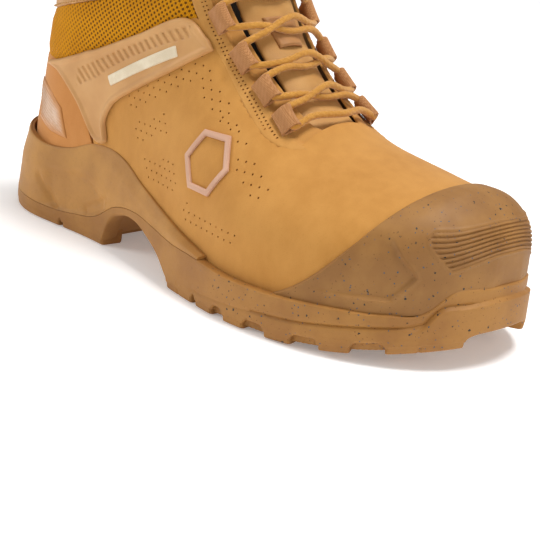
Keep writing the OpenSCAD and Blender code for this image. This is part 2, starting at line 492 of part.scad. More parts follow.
// Bow loops and free ends run back from the knot along the collar: x, z and distance from the surface
LOOP = [[-13.5, 158.4, 3.8], [-22, 156.4, 3.3], [-33, 150.8, 3.2], [-44, 145.4, 3.2], [-54, 142, 3.2],
        [-62, 143.4, 3.2], [-66, 149, 3.2], [-63, 154.8, 3.2], [-55, 157, 3.2], [-44, 157.6, 3.2],
        [-33, 159, 3.2], [-24, 160.8, 4.5], [-15, 161.2, 7.2]];
END = [[-22, 146.4, 6.6], [-29, 143.2, 4.2], [-38, 140.5, 3.2], [-50, 137.6, 3.2],
       [-62, 135, 3.2], [-75, 132, 3.2], [-87, 128.5, 3.2], [-96, 125, 3.2]];
// The free ends pass over the hooks at this distance from the middle of their eyes
over_hook = 5.4;
function lie(side, P) = [for (p = P) skin(side, [p[0], p[1]], p[2])];
function bow_route(side) = concat([knot_port(side, 2, -2), knot_port(side, 2.4, -2, 3)], lie(side, LOOP),
    [knot_port(side, 2.8, 2, 3), knot_port(side, 2, 2)]);
function end_route(side) = concat([knot_port(side, -2, 2), knot_port(side, -2.4, 2.4, 3),
    eye_at(side, 5, -0.5) + outward(side, HOOK) * over_hook], lie(side, END));
module bow_loop_lateral() color("goldenrod") loft(frame_tube(route(bow_route(-1), 30), lace_d / 2 - 0.1));
module bow_loop_medial() color("goldenrod") loft(frame_tube(route(bow_route(1), 30), lace_d / 2 - 0.1));
module lace_end_lateral() color("goldenrod") loft(frame_tube(route(end_route(-1), 24), lace_d / 2 - 0.1));
module lace_end_medial() color("goldenrod") loft(frame_tube(route(end_route(1), 24), lace_d / 2 - 0.1));
aglet_len = 14;
module aglet(side) {
    R = end_route(side);
    tip = R[len(R) - 1];
    u = (tip - path(R, 0.985)) / norm(tip - path(R, 0.985));
    loft(frame_tube([tip + u * 0.05, tip + u * aglet_len / 2, tip + u * aglet_len], lace_d / 2 - 0.3));
}
module aglet_lateral() color("gray") aglet(-1);
module aglet_medial() color("gray") aglet(1);

// ---- Pull loop at the back of the collar ----

pull_w = 20;
pull_t = 1.5;
pull_r = 5;
pull_h = 28;
pull_z = 146;
tab_x = -133.3;
pull_x = tab_x - 3.3;
module slot(r) {
    translate([-r, pull_r]) square([2 * r, pull_h - 2 * pull_r]);
    for (z = [pull_r, pull_h - pull_r]) translate([0, z]) circle(r, $fn = 48);
}
module pull_loop_tab() color("tan") translate([tab_x, centre(tab_x), 131]) rotate([90, 0, 0])
    linear_extrude(pull_w, center = true) square([pull_t, pull_z - 131.6]);
module pull_loop() color("tan") translate([pull_x, centre(pull_x), pull_z]) rotate([90, 0, 0])
    linear_extrude(pull_w, center = true) difference() {
        slot(pull_r);
        slot(pull_r - pull_t);
    }

// ---- Toe and heel stiffening, and lining ----

// Lower edge of what stands on the insole board
inside_z = 3.4;
module toe_shell(xa, x0, layer, n) {
    EDGE = on_floor([x0, x0 + 22, upper_toe - 0.8], inside_z);
    nose(over_grid(EDGE, xa, upper_toe - 0.8, layer[1], n, 7, 0, true),
         over_grid(EDGE, xa, upper_toe - 0.8, layer[0], n, 7, 0, true));
}
module steel_toe_cap() color("silver") toe_shell(94, 98, STEEL, 9);
module toe_cap_gasket() color("dimgray") {
    EDGE = [[91, 18], [97.4, 18]];
    sheet(over_grid(EDGE, 88, 93.6, STEEL[1], 1, 7), over_grid(EDGE, 88, 93.6, STEEL[0], 1, 7));
}
module heel_stiffener() color("gainsboro")
    back_panel([[-70, 31], [-82, 56], [-94, 76]], 31, 78, STEEL, 6, 8);
module lining_front() color("lightsteelblue") toe_shell(71, 72, LINING, 10);
module lining_rear() color("lightsteelblue") {
    EDGE = [[69, 18], [52, 54], [32, 70], [12, 84], [-8, 104], [-22, 130], [-36, 159]];
    sheet(back_grid(EDGE, 30.4, collar_back - 1, [LINING[1], -9.1], 11, 10, inside_z),
          back_grid(EDGE, 30.4, collar_back - 1, [LINING[0], -9.1 - lining_t], 11, 10, inside_z));
}

outsole();
heel_cup();
midsole();
toe_bumper();
puncture_plate();
shank();
insole_board();
footbed();
heel_pad();
vamp();
quarter_lateral();
quarter_medial();
eyestay_lateral();
eyestay_medial();
ankle_overlay_lateral();
ankle_overlay_medial();
heel_counter();
heel_reflectors();
ankle_mesh_lateral();
ankle_mesh_medial();
collar_cuff();
backstay();
lace_loops_lateral();
lace_loops_medial();
tongue_lower();
tongue_upper();
lace_keeper();
side_badge();
overlay_strip();
steel_toe_cap();
toe_cap_gasket();
heel_stiffener();
lining_front();
lining_rear();
collar_foam();
pull_loop_tab();
pull_loop();
lace_hooks();
lace();
lace_knot();
bow_loop_lateral();
bow_loop_medial();
lace_end_lateral();
lace_end_medial();
aglet_lateral();
aglet_medial();
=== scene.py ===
"""Steel toe work boot: the looks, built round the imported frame. Shapes are worked out in millimetres."""
import json
import math

import bmesh
import bpy
import numpy as np
from mathutils import Matrix, Vector
from mathutils.geometry import delaunay_2d_cdt

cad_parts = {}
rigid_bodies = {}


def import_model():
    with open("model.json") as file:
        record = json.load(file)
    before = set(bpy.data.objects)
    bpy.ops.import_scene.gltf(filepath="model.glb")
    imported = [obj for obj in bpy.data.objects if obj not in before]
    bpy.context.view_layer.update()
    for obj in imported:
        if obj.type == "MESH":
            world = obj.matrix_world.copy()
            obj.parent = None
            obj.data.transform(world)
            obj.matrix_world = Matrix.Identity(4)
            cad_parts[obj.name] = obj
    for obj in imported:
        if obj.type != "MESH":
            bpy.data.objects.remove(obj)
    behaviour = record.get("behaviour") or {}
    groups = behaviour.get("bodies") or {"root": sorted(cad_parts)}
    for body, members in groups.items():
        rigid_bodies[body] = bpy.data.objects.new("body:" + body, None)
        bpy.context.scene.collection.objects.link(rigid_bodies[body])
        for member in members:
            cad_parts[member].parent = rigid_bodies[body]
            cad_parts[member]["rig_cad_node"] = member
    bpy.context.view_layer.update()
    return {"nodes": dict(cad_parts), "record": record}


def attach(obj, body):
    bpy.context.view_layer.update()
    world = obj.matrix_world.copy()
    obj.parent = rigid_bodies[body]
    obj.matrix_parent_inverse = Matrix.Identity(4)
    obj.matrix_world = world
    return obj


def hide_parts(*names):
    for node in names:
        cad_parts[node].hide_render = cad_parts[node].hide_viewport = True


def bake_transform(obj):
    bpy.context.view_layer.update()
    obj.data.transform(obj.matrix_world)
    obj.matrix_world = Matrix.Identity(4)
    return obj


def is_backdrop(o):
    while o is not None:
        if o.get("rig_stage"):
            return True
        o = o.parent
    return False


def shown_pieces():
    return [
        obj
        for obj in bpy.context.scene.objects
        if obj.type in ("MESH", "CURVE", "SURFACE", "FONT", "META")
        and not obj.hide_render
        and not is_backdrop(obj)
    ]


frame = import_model()
MM = 0.001
SIDES = {"lateral": -1, "medial": 1}

# ---- The boot's surface: the same driving values and curves as the frame's own source ----

SOLE_X, SPRING, LUG = 152.5, 11.0, 5.0
LEG_HALF = 39.0
UPPER_TOE = SOLE_X - 5.5
COLLAR_BACK, CUFF_LOW_BACK = 158.0, 101.0
CENTRE = [(-152, 2.6), (-60, 1.6), (0, 1.6), (60, 3.6), (110, 7.6), (152, 11.6)]
SOLE_OUT = [(-152, 41), (-110, 41.5), (-60, 41), (-20, 47), (20, 57), (55, 63), (85, 62), (115, 58),
            (152, 54)]
SOLE_IN = [(-152, 41), (-110, 41), (-60, 38), (-20, 37), (20, 43), (55, 53), (85, 54), (115, 51), (152, 48)]
UPPER_OUT = [(-152, 37), (-110, 38), (-60, 38), (-20, 43), (20, 52), (55, 58), (85, 57), (115, 53), (152, 49)]
UPPER_IN = [(-152, 37), (-110, 37), (-60, 36), (-20, 35), (20, 40), (55, 48), (85, 49), (115, 46), (152, 43)]
INSTEP = [(-45, 240), (-28, 205), (-12, 168), (2, 142), (18, 119), (36, 100), (55, 85), (85, 75), (115, 70),
          (147, 66)]
HEEL = [(20, -145), (45, -145), (70, -140), (95, -135), (120, -131), (150, -129), (175, -131)]
WIDEST = [(-141, 55), (-105, 53), (-85, 46), (-60, 34), (-30, 24), (0, 19), (40, 20), (90, 28), (120, 36),
          (147, 44)]
FEATHER = [(-148, 44), (-125, 41), (-102, 39.5), (-87, 42), (-70, 48), (-54, 49), (-41, 46), (-26, 39),
           (-1, 31), (34, 23)]
RIM = [(-152, 9.5), (-80, 9.5), (-62, 13), (-45, 22.5), (-27, 25.5), (-10, 24), (8, 22), (30, 21.5),
       (50, 20), (76, 19.7), (107, 21.5), (127, 22.5), (139, 25), (146, 34.5), (152, 35)]
FLOOR = [(-152, 27), (-100, 27), (-60, 28.5), (-30, 28.5), (0, 26), (25, 20), (50, 14.5), (90, 14.5),
         (120, 18), (152, 25)]
ARCH = [(-54, 0), (-50, 8), (-39, 15), (-27, 16), (-14, 12), (0, 5), (6, 0)]


def smooth(t):
    c = np.clip(t, 0, 1)
    return c * c * (3 - 2 * c)


def curve(points, x):
    """Smooth curve through control points, straight beyond its ends."""
    P = np.array(points, float)
    X, Y = P[:, 0], P[:, 1]
    h = np.diff(X)
    r = np.diff(Y) / h
    T = np.concatenate([[r[0]], (r[:-1] * h[1:] + r[1:] * h[:-1]) / (h[:-1] + h[1:]), [r[-1]]])
    x = np.asarray(x, float)
    i = np.clip(np.searchsorted(X, x, side="right") - 1, 0, len(X) - 2)
    t = (x - X[i]) / h[i]
    c = np.clip(t, 0, 1)
    y = ((2 * c**3 - 3 * c**2 + 1) * Y[i] + (c**3 - 2 * c**2 + c) * h[i] * T[i]
         + (3 * c**2 - 2 * c**3) * Y[i + 1] + (c**3 - c**2) * h[i] * T[i + 1])
    return y + np.where(t < 0, t * h[i] * T[i], 0) + np.where(t > 1, (t - 1) * h[i] * T[i + 1], 0)


def path(points, s):
    """Smooth path through points of any dimension, s from 0 to 1."""
    P = np.array(points, float)
    n = len(P) - 1
    s = np.atleast_1d(np.asarray(s, float))
    k = np.minimum((s * n).astype(int), n - 1)
    t = (s * n - k)[:, None]
    a, b = P[k], P[k + 1]
    m = np.where((k == 0)[:, None], b - a, (b - P[np.maximum(k - 1, 0)]) / 2)
    q = np.where((k == n - 1)[:, None], b - a, (P[np.minimum(k + 2, n)] - a) / 2)
    return ((2 * t**3 - 3 * t**2 + 1) * a + (t**3 - 2 * t**2 + t) * m + (3 * t**2 - 2 * t**3) * b
            + (t**3 - t**2) * q)


def unit(v):
    """Vectors scaled to a length of 1."""
    return v / np.linalg.norm(v, axis=-1, keepdims=True)


def tangents(P):
    return unit(np.gradient(P, axis=0))


def ring_tangents(P, reach=1):
    """Directions along a closed line."""
    return unit(np.roll(P, -reach, 0) - np.roll(P, reach, 0))


def left_of(T):
    """Directions in a plane, turned by a right angle to the left."""
    return np.stack([-T[:, 1], T[:, 0]], 1)


def run_along(P):
    """Length along a line of points up to each of them."""
    return np.concatenate([[0], np.cumsum(np.linalg.norm(np.diff(P, axis=0), axis=1))])


def spots(P, at, values=None):
    """Points of a line, or other values on it, at the given lengths along it."""
    run = run_along(P)
    V = P if values is None else values
    return np.stack([np.interp(at, run, V[:, k]) for k in range(V.shape[1])], -1)


def even_ring(P, step):
    """Points about a step apart round a closed line."""
    P = np.concatenate([P, P[:1]])
    length = run_along(P)[-1]
    return spots(P, np.linspace(0, length, int(length / step) + 1)[:-1])


def circle(count):
    """Cosines and sines of angles all round, as columns."""
    turn = np.linspace(0, 2 * np.pi, count, endpoint=False)
    return np.stack([np.cos(turn), np.sin(turn)], 1)


def round_end(x, a, b, n):
    t = np.clip((x - a) / (b - a), 0, 1)
    return (1 - t**n) ** (1 / n)


def centre(x):
    return curve(CENTRE, x)


def spring(x):
    return SPRING * np.clip((x - 70) / (SOLE_X - 70), 0, 1) ** 2


def tread(x):
    return np.where((x > -54) & (x < 6), curve(ARCH, x), 0) + LUG + spring(x)


def sole_half(side, x, inset=0.0):
    half = np.where(np.asarray(side) < 0, curve(SOLE_OUT, x), curve(SOLE_IN, x))
    return ((half - inset) * round_end(x, SOLE_X - inset - 62, SOLE_X - inset, 2.2)
            * round_end(-x, SOLE_X - inset - 46, SOLE_X - inset, 2.3))


def crest(x, d=0.0):
    """Height of the upper's middle line, moved out by d; it rounds down to the widest level at the toe."""
    low = curve(WIDEST, x)
    slope = (curve(INSTEP, x + 1) - curve(INSTEP, x - 1)) / 2
    high = curve(INSTEP, x) + d * np.sqrt(1 + slope**2)
    return low + (high - low) * round_end(x, UPPER_TOE - 26, UPPER_TOE + d, 2.3)


def heel_x(z, d=0.0):
    return curve(HEEL, z) - d


def upper_half(side, x, z, d=0.0):
    w, h = curve(WIDEST, x), crest(x, d)
    e = np.clip((z - w) / np.maximum(h - w, 0.001), 0, 1)
    foot = np.where(np.asarray(side) < 0, curve(UPPER_OUT, x), curve(UPPER_IN, x))
    wide = foot + (LEG_HALF - foot) * smooth((z - 45) / 70) + d
    back = -heel_x(z, d)
    return (wide * np.sqrt(1 - e**3.1) * round_end(-x, back - 54, back, 2.2)
            * round_end(x, UPPER_TOE - 58, UPPER_TOE + d, 2.2))


def skin(side, x, z, d=0.0):
    """Points of the upper's surface, moved out by d, from points of the side view."""
    x, z = np.broadcast_arrays(np.asarray(x, float), np.asarray(z, float))
    return np.stack([x, centre(x) + side * upper_half(side, x, z, d), z], -1)


def outward(side, x, z):
    """Outward direction of the upper's surface at points of the side view."""
    e = 0.5
    ahead, up = skin(side, x + e, z) - skin(side, x - e, z), skin(side, x, z + e) - skin(side, x, z - e)
    n = unit(np.cross(ahead, up))
    return n * np.sign(n[..., 1:2] * side)


# ---- Grids on the surface, and meshes from them ----

CROSS_POWER = 1.8
INSIDE_Z = 40.0


def steps(n, edge, length):
    """About n values from 0 to 1, closer at both ends of the length, where its edges are rounded."""
    inner = np.linspace(0, 1, n + 1)
    near = np.array([0.04, 0.16, 0.38, 0.7]) * edge / length
    inner = inner[(inner > near[-1] * 1.3) & (inner < 1 - near[-1] * 1.3)]
    return np.concatenate([[0], near, inner, 1 - near[::-1], [1]])


def over_grid(EDGE, xa, xb, ss, js, d=0.0, bow=0.0, ease=False, narrow=1.0):
    """Rows from the outer edge over the crest to the inner edge; eased rows end round the toe's tip."""
    e = path(EDGE, ss)
    top_x = xa + (xb + (d if ease else 0) - xa) * ss
    top = np.stack([top_x, crest(top_x, d)], -1)
    foot = np.stack([e[:, 0] + (d * ss if ease else 0), e[:, 1]], -1)
    f = np.abs(js) ** CROSS_POWER
    reach = f[None, :, None] * np.broadcast_to(narrow, ss.shape)[:, None, None]
    p = top[:, None] + (foot - top)[:, None] * reach
    lift = 4 * f * (1 - f) * bow
    p = p + lift[None, :, None] * (1 - ss)[:, None, None] * np.array([0.6, -1])
    side = np.broadcast_to(np.where(js < 0, -1, 1), p.shape[:2])
    d = np.broadcast_to(np.asarray(d, float), ss.shape)[:, None]
    return skin(side, p[..., 0], p[..., 1], d)


def back_grid(EDGE, za, zb, ss, js, d=0.0, dz=0.4):
    """Rows from the outer edge round the back line to the inner edge."""
    e = path(EDGE, ss)
    z = za + (zb - za) * ss
    dd = np.broadcast_to(np.asarray(d, float), z.shape)
    back = np.stack([heel_x(z, dd), z], -1)
    f = np.abs(js) ** 2
    p = back[:, None] + (e - back)[:, None] * f[None, :, None]
    p[..., 1] = np.maximum(p[..., 1], curve(FLOOR, p[..., 0]) + dz)
    side = np.broadcast_to(np.where(js < 0, -1, 1), p.shape[:2])
    return skin(side, p[..., 0], p[..., 1], dd[:, None])


def normals(P):
    """Normals of a grid of points, away from a line inside the boot."""
    n = np.cross(np.gradient(P, axis=0), np.gradient(P, axis=1))
    n /= np.maximum(np.linalg.norm(n, axis=-1, keepdims=True), 1e-9)
    away = P - np.stack([P[..., 0] * 0.9, centre(P[..., 0]), np.full(P.shape[:2], INSIDE_Z)], -1)
    return n * np.where((n * away).sum() < 0, -1.0, 1.0)


def border(P, which="aAbB"):
    """Distance of grid points from borders: a and A are the first and last row, b and B the columns."""
    far = np.full(P.shape[:2], 1e6)
    for axis, names in ((0, "aA"), (1, "bB")):
        step = np.linalg.norm(np.diff(P, axis=axis), axis=-1)
        run = np.concatenate([np.zeros_like(np.take(step, [0], axis)), np.cumsum(step, axis)], axis)
        if names[0] in which:
            far = np.minimum(far, run)
        if names[1] in which:
            far = np.minimum(far, np.take(run, [-1], axis) - run)
    return far


def quarter_round(distance, radius):
    """0 on an edge, rising along a quarter circle to 1 at the radius."""
    return np.sqrt(np.maximum(1 - (1 - np.clip(distance / radius, 0, 1)) ** 2, 0))


def segment_distance(x, z, points):
    """Distance in the side view from points to a polyline."""
    best = np.full(np.shape(x), 1e6)
    for (ax, az), (bx, bz) in zip(points[:-1], points[1:]):
        ux, uz = bx - ax, bz - az
        t = np.clip(((x - ax) * ux + (z - az) * uz) / (ux * ux + uz * uz), 0, 1)
        best = np.minimum(best, np.hypot(x - ax - t * ux, z - az - t * uz))
    return best


def ridge(distance, width):
    """1 on a line, down to 0 at its width."""
    return np.exp(-((distance / width) ** 2) * 2)


def make(name, verts, faces, sharp, marks=None):
    """A mesh object in metres from points in millimetres; marks are values of its points."""
    mesh = bpy.data.meshes.new(name)
    mesh.from_pydata((np.asarray(verts) * MM).tolist(), [], faces)
    mesh.update()
    for key, values in (marks or {}).items():
        attribute = mesh.attributes.new(key, "FLOAT", "POINT")
        attribute.data.foreach_set("value", np.asarray(values, np.float32).ravel())
    obj = bpy.data.objects.new(name, mesh)
    bpy.context.scene.collection.objects.link(obj)
    b = bmesh.new()
    b.from_mesh(mesh)
    bmesh.ops.dissolve_degenerate(b, edges=b.edges, dist=1e-7)
    bmesh.ops.recalc_face_normals(b, faces=b.faces)
    b.to_mesh(mesh)
    b.free()
    mesh.shade_smooth()
    if sharp:
        mesh.set_sharp_from_angle(angle=math.radians(sharp))
    return obj


def grid_quads(n, m, base=0, flip=False):
    i, j = np.meshgrid(np.arange(n - 1), np.arange(m - 1), indexing="ij")
    a = base + i * m + j
    q = np.stack([a, a + 1, a + m + 1, a + m], -1).reshape(-1, 4)
    return q[:, ::-1] if flip else q


def shell(name, outer, inner, closed=False):
    """A closed sheet between two grids. closed joins the last row to itself across the middle."""
    n, m = outer.shape[:2]
    k = n * m
    faces = [grid_quads(n, m), grid_quads(n, m, k, True)]
    first = list(range(m))
    right = [i * m + m - 1 for i in range(1, n)]
    last = [(n - 1) * m + j for j in range(m - 2, -1, -1)]
    left = [i * m for i in range(n - 2, 0, -1)]
    rim = [i * m for i in range(n - 1, 0, -1)] + first + right if closed else first + right + last + left
    pairs = list(zip(rim, rim[1:] + ([] if closed else rim[:1])))
    faces.append(np.array([[b, a, a + k, b + k] for a, b in pairs]))
    if closed:
        row = (n - 1) * m
        quads = [[row + j, row + m - 1 - j, row + m - 2 - j, row + j + 1] for j in range((m - 1) // 2)]
        faces.append(np.array(quads))
        faces.append(np.array([[q + k for q in f[::-1]] for f in quads]))
        faces.append(np.array([[row + m - 1, row, row + k, row + m - 1 + k]]))
    faces = [list(dict.fromkeys(f)) for f in np.concatenate(faces).tolist()]
    verts = np.concatenate([outer.reshape(-1, 3), inner.reshape(-1, 3)])
    return make(name, verts, faces, 40)


def tube_rings(R, k, profile):
    """Rings of k points along a route, carried without twisting. profile(i, angles) gives the radius."""
    R = np.asarray(R, float)
    T = tangents(R)
    u = unit(np.cross(T[0], (0.31, 0.12, 0.94)))
    angles = np.linspace(0, 2 * np.pi, k, endpoint=False)
    rings = []
    for i in range(len(R)):
        u = unit(u - T[i] * (u @ T[i]))
        radius = np.reshape(profile(i, angles), (-1, 1))
        rings.append(R[i] + circle(k) @ np.array([u, np.cross(T[i], u)]) * radius)
    return np.array(rings)


def loft_faces(n, m, base=0, closed=False):
    """Faces between n rings of m points; the ends are capped unless the last ring meets the first."""
    faces = []
    for i in range(n if closed else n - 1):
        j = (i + 1) % n
        for a in range(m):
            b = (a + 1) % m
            faces.append((base + i * m + a, base + i * m + b, base + j * m + b, base + j * m + a))
    if not closed:
        last = base + (n - 1) * m
        faces += [tuple(range(base + m - 1, base - 1, -1)), tuple(range(last, last + m))]
    return faces


def loft(name, rings, sharp=50.0, closed=False):
    n, m = rings.shape[:2]
    return make(name, rings.reshape(-1, 3), loft_faces(n, m, 0, closed), sharp)


def join(name, objects):
    """Several meshes as one object."""
    bpy.ops.object.select_all(action="DESELECT")
    for o in objects:
        o.select_set(True)
    bpy.context.view_layer.objects.active = objects[0]
    bpy.ops.object.join()
    objects[0].name = objects[0].data.name = name
    return objects[0]


def place(obj, body, slot, material, *nodes):
    """Every piece rides on a body, takes a material and stands for its CAD nodes."""
    obj.data.materials.clear()
    obj.data.materials.append(material)
    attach(obj, body)
    if nodes:
        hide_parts(*nodes)
    return obj


# ---- Sheets cut to a closed outline of the side view ----


def loop_of(low, up, step):
    """Closed outline from a lower and an upper line, with points a step apart."""
    fine = np.linspace(0, 1, 400)
    P = np.concatenate([path(low, fine), path(up, fine)[::-1]])
    return even_ring(P, step)


def within(P, L):
    """Which points of the side view lie inside a closed outline."""
    x, z = P[:, 0:1], P[:, 1:2]
    a, b = L, np.roll(L, -1, 0)
    cross = (a[:, 1] > z) != (b[:, 1] > z)
    rise = np.where(b[:, 1] == a[:, 1], 1e-9, b[:, 1] - a[:, 1])
    return ((x < (b[:, 0] - a[:, 0]) * (z - a[:, 1]) / rise + a[:, 0]) & cross).sum(1) % 2 == 1


def lattice(L, step):
    """Staggered points over the box of an outline."""
    lo, hi = L.min(0), L.max(0)
    x, z = np.meshgrid(np.arange(lo[0], hi[0], step), np.arange(lo[1], hi[1], step * 0.87), indexing="ij")
    x = x + (np.arange(x.shape[1]) % 2) * step / 2
    return np.stack([x.ravel(), z.ravel()], 1)


def cut_sheet(name, side, L, step, top, low, edge, sill=None, holes=(), hole=(0.5, 0.7), relief=None):
    """A sheet on one side of the boot: top, sill and low are the heights of its outer face, of its outer edge
    and of its inner face. Each hole is a dimple of a radius and depth. relief(x, z, distance) adds height."""
    sill = low if sill is None else sill
    ring = np.concatenate([L, L[:1]])
    normal = left_of(ring_tangents(L))
    if not within(L + normal * 0.05, L).mean() > 0.5:
        normal = -normal
    points = [L]
    for inset in (0.06, 0.3, 0.65, 1.1):
        Q = L + normal * inset * edge
        d = segment_distance(Q[:, 0], Q[:, 1], ring)
        points.append(Q[(d > inset * edge * 0.93) & within(Q, L)])
    G = lattice(L, step)
    G = G[within(G, L)]
    G = G[segment_distance(G[:, 0], G[:, 1], ring) > edge * 1.1 + step * 0.5]
    H = np.array(holes, float).reshape(-1, 2)
    if len(H):
        H = H[within(H, L) & (segment_distance(H[:, 0], H[:, 1], ring) > edge + hole[0] * 2)]
        near = np.min(np.linalg.norm(G[:, None] - H[None], axis=2), 1)
        G = G[near > hole[0] + step * 0.35]
    points.append(G)
    sunk = [np.zeros(sum(map(len, points)))]
    for size, depth in ((1.0, 0.0), (0.72, 0.85), (0.0, 1.0)):
        Q = (H[:, None] + circle(8) * hole[0] * size).reshape(-1, 2) if size else H
        points.append(Q)
        sunk.append(np.full(len(Q), depth))
    P, sunk = np.concatenate(points), np.concatenate(sunk)
    n = len(L)
    rim = [(i, (i + 1) % n) for i in range(n)]
    verts, _, faces, source, _, _ = delaunay_2d_cdt([Vector(p) for p in P.tolist()], rim, [], 1, 1e-4)
    V = np.array([tuple(v) for v in verts])
    sunk = np.array([max(sunk[j] for j in src) if src else 0.0 for src in source])
    d = segment_distance(V[:, 0], V[:, 1], ring)
    d[d < 1e-4] = 0
    height = sill + (top - sill) * quarter_round(d, edge) - sunk * hole[1]
    if relief:
        height = height + relief(V[:, 0], V[:, 1], d)
    S = skin(side, V[:, 0], V[:, 1])
    N = outward(side, V[:, 0], V[:, 1])
    k = len(V)
    where = {j: i for i, src in enumerate(source) for j in src}
    tri = [list(f) for f in faces]
    wall = [[where[a], where[b], where[b] + k, where[a] + k] for a, b in rim]
    faces = tri + [[i + k for i in f[::-1]] for f in tri] + wall
    # sunk sets the dimples' depth; the nubuck material also paints shade into the holes where it is high
    marks = {"sunk": np.concatenate([sunk, np.zeros(k)]), "inland": np.concatenate([d, np.zeros(k)])}
    return make(name, np.concatenate([S + N * height[:, None], S + N * low]), faces, 38, marks)


def row_of(points, pitch, start):
    """Points a pitch apart along a polyline of the side view."""
    P = np.array(points, float)
    return spots(P, np.arange(start, run_along(P)[-1], pitch))


# ---- Camera, light and floor ----

AZIMUTH, ELEVATION, ROLL = (math.radians(a) for a in (43, 18.24, 6.01))
AIM, DISTANCE, LENS = Vector((14.4, 10.4, 0)), 691.6, 94.35
camera = bpy.data.objects.new("camera", bpy.data.cameras.new("camera"))
bpy.context.scene.collection.objects.link(camera)
bpy.context.scene.camera = camera
back = Vector((math.sin(AZIMUTH) * math.cos(ELEVATION), -math.cos(AZIMUTH) * math.cos(ELEVATION),
               math.sin(ELEVATION)))
right = Vector((math.cos(AZIMUTH), math.sin(AZIMUTH), 0))
up = back.cross(right)
across = right * math.cos(ROLL) + up * math.sin(ROLL)
facing = Matrix((across, back.cross(across), back)).transposed().to_quaternion()
camera.matrix_world = Matrix.LocRotScale((AIM + back * DISTANCE) * MM, facing, None)
camera.data.lens = LENS
camera.data.sensor_width = 36
camera.data.clip_start = 0.01


def lamp(name, where, size, power):
    """A round lamp that looks at the boot; sizes here are in metres and watts."""
    data = bpy.data.lights.new(name, "AREA")
    data.shape, data.size, data.energy = "DISK", size, power
    obj = bpy.data.objects.new(name, data)
    bpy.context.scene.collection.objects.link(obj)
    obj.location = where
    obj.rotation_euler = (Vector((0, 0, 0.05)) - Vector(where)).to_track_quat("-Z", "Y").to_euler()


lamp("key", (0.45, 0.25, 1.95), 0.8, 31)
lamp("fill", (1.7, 0.1, 0.7), 1.0, 5)
lamp("side", (-1.3, -1.1, 0.9), 0.9, 11)
world = bpy.data.worlds.new("studio")
world.use_nodes = True
world.node_tree.nodes["Background"].inputs["Color"].default_value = (1, 1, 1, 1)
world.node_tree.nodes["Background"].inputs["Strength"].default_value = 0.4
bpy.context.scene.world = world
bpy.context.scene.view_settings.view_transform = "Standard"


# ---- Materials ----


def linear(hex_colour):
    """Linear colour from a hex one."""
    c = np.array([int(hex_colour[i:i + 2], 16) / 255 for i in (1, 3, 5)])
    return tuple(np.where(c <= 0.04045, c / 12.92, ((c + 0.055) / 1.055) ** 2.4)) + (1.0,)


class Finish:
    """A node material, its textures laid in millimetres of the boot's own space."""

    def __init__(self, name, rough, **constants):
        self.material = bpy.data.materials.new(name)
        self.material.use_nodes = True
        self.tree = self.material.node_tree
        self.shader = self.tree.nodes["Principled BSDF"]
        self.shader.inputs["Roughness"].default_value = rough
        for key, value in constants.items():
            self.shader.inputs[key.replace("_", " ")].default_value = value
        self.height = None
        metres = self.add("ShaderNodeTexCoord")["Object"]
        self.mm = self.add("ShaderNodeVectorMath", operation="SCALE", Vector=metres, Scale=1 / MM)["Vector"]

    def add(self, kind, operation=None, settings=None, **inputs):
        """A node with its inputs, each a value or a link; i0, i1 and so on are inputs by number."""
        node = self.tree.nodes.new(kind)
        if operation:
            node.operation = operation
        for key, value in (settings or {}).items():
            setattr(node, key, value)
        for key, value in inputs.items():
            name = int(key[1:]) if key[0] == "i" and key[1:].isdigit() else key.replace("_", " ")
            socket = node.inputs[name]
            if isinstance(value, bpy.types.NodeSocket):
                self.tree.links.new(value, socket)
            else:
                socket.default_value = value
        return node.outputs

    def noise(self, size, detail, stretch=None):
        """Noise with features of that size in millimetres."""
        where = self.mm
        if stretch:
            where = self.add("ShaderNodeVectorMath", operation="MULTIPLY", i0=where, i1=stretch)["Vector"]
        return self.add("ShaderNodeTexNoise", Vector=where, Scale=1 / size, Detail=detail)["Fac"]

    def cells(self, size, feature="F1", output="Distance"):
        """Cells of about that size in millimetres."""
        return self.add("ShaderNodeTexVoronoi", settings={"feature": feature}, Vector=self.mm,
                        Scale=1 / size)[output]

    def math(self, operation, a, b=0.0, c=0.0):
        return self.add("ShaderNodeMath", operation=operation, i0=a, i1=b, i2=c)["Value"]

    def step(self, value, low, high):
        """0 below low, 1 above high."""
        return self.add("ShaderNodeMapRange", settings={"interpolation_type": "SMOOTHSTEP"}, Value=value,
                        From_Min=low, From_Max=high)["Result"]

    def mix(self, factor, a, b):
        return self.add("ShaderNodeMix", settings={"data_type": "RGBA"}, i0=factor, i6=a, i7=b)[2]

    def marks(self, name):
        return self.add("ShaderNodeAttribute", settings={"attribute_name": name})["Fac"]

    def axis(self, which):
        return self.add("ShaderNodeSeparateXYZ", Vector=self.mm)[which]

    def colour(self, value):
        socket = self.shader.inputs["Base Color"]
        if isinstance(value, bpy.types.NodeSocket):
            self.tree.links.new(value, socket)
        else:
            socket.default_value = value

    def roughness(self, value, low, high):
        out = self.add("ShaderNodeMapRange", Value=value, To_Min=low, To_Max=high)["Result"]
        self.tree.links.new(out, self.shader.inputs["Roughness"])

    def bump(self, height, depth, strength):
        """Relief of that depth in millimetres, on top of any before it."""
        inputs = {"Height": height, "Distance": depth * MM, "Strength": strength}
        if self.height is not None:
            inputs["Normal"] = self.height
        self.height = self.add("ShaderNodeBump", **inputs)["Normal"]
        self.tree.links.new(self.height, self.shader.inputs["Normal"])


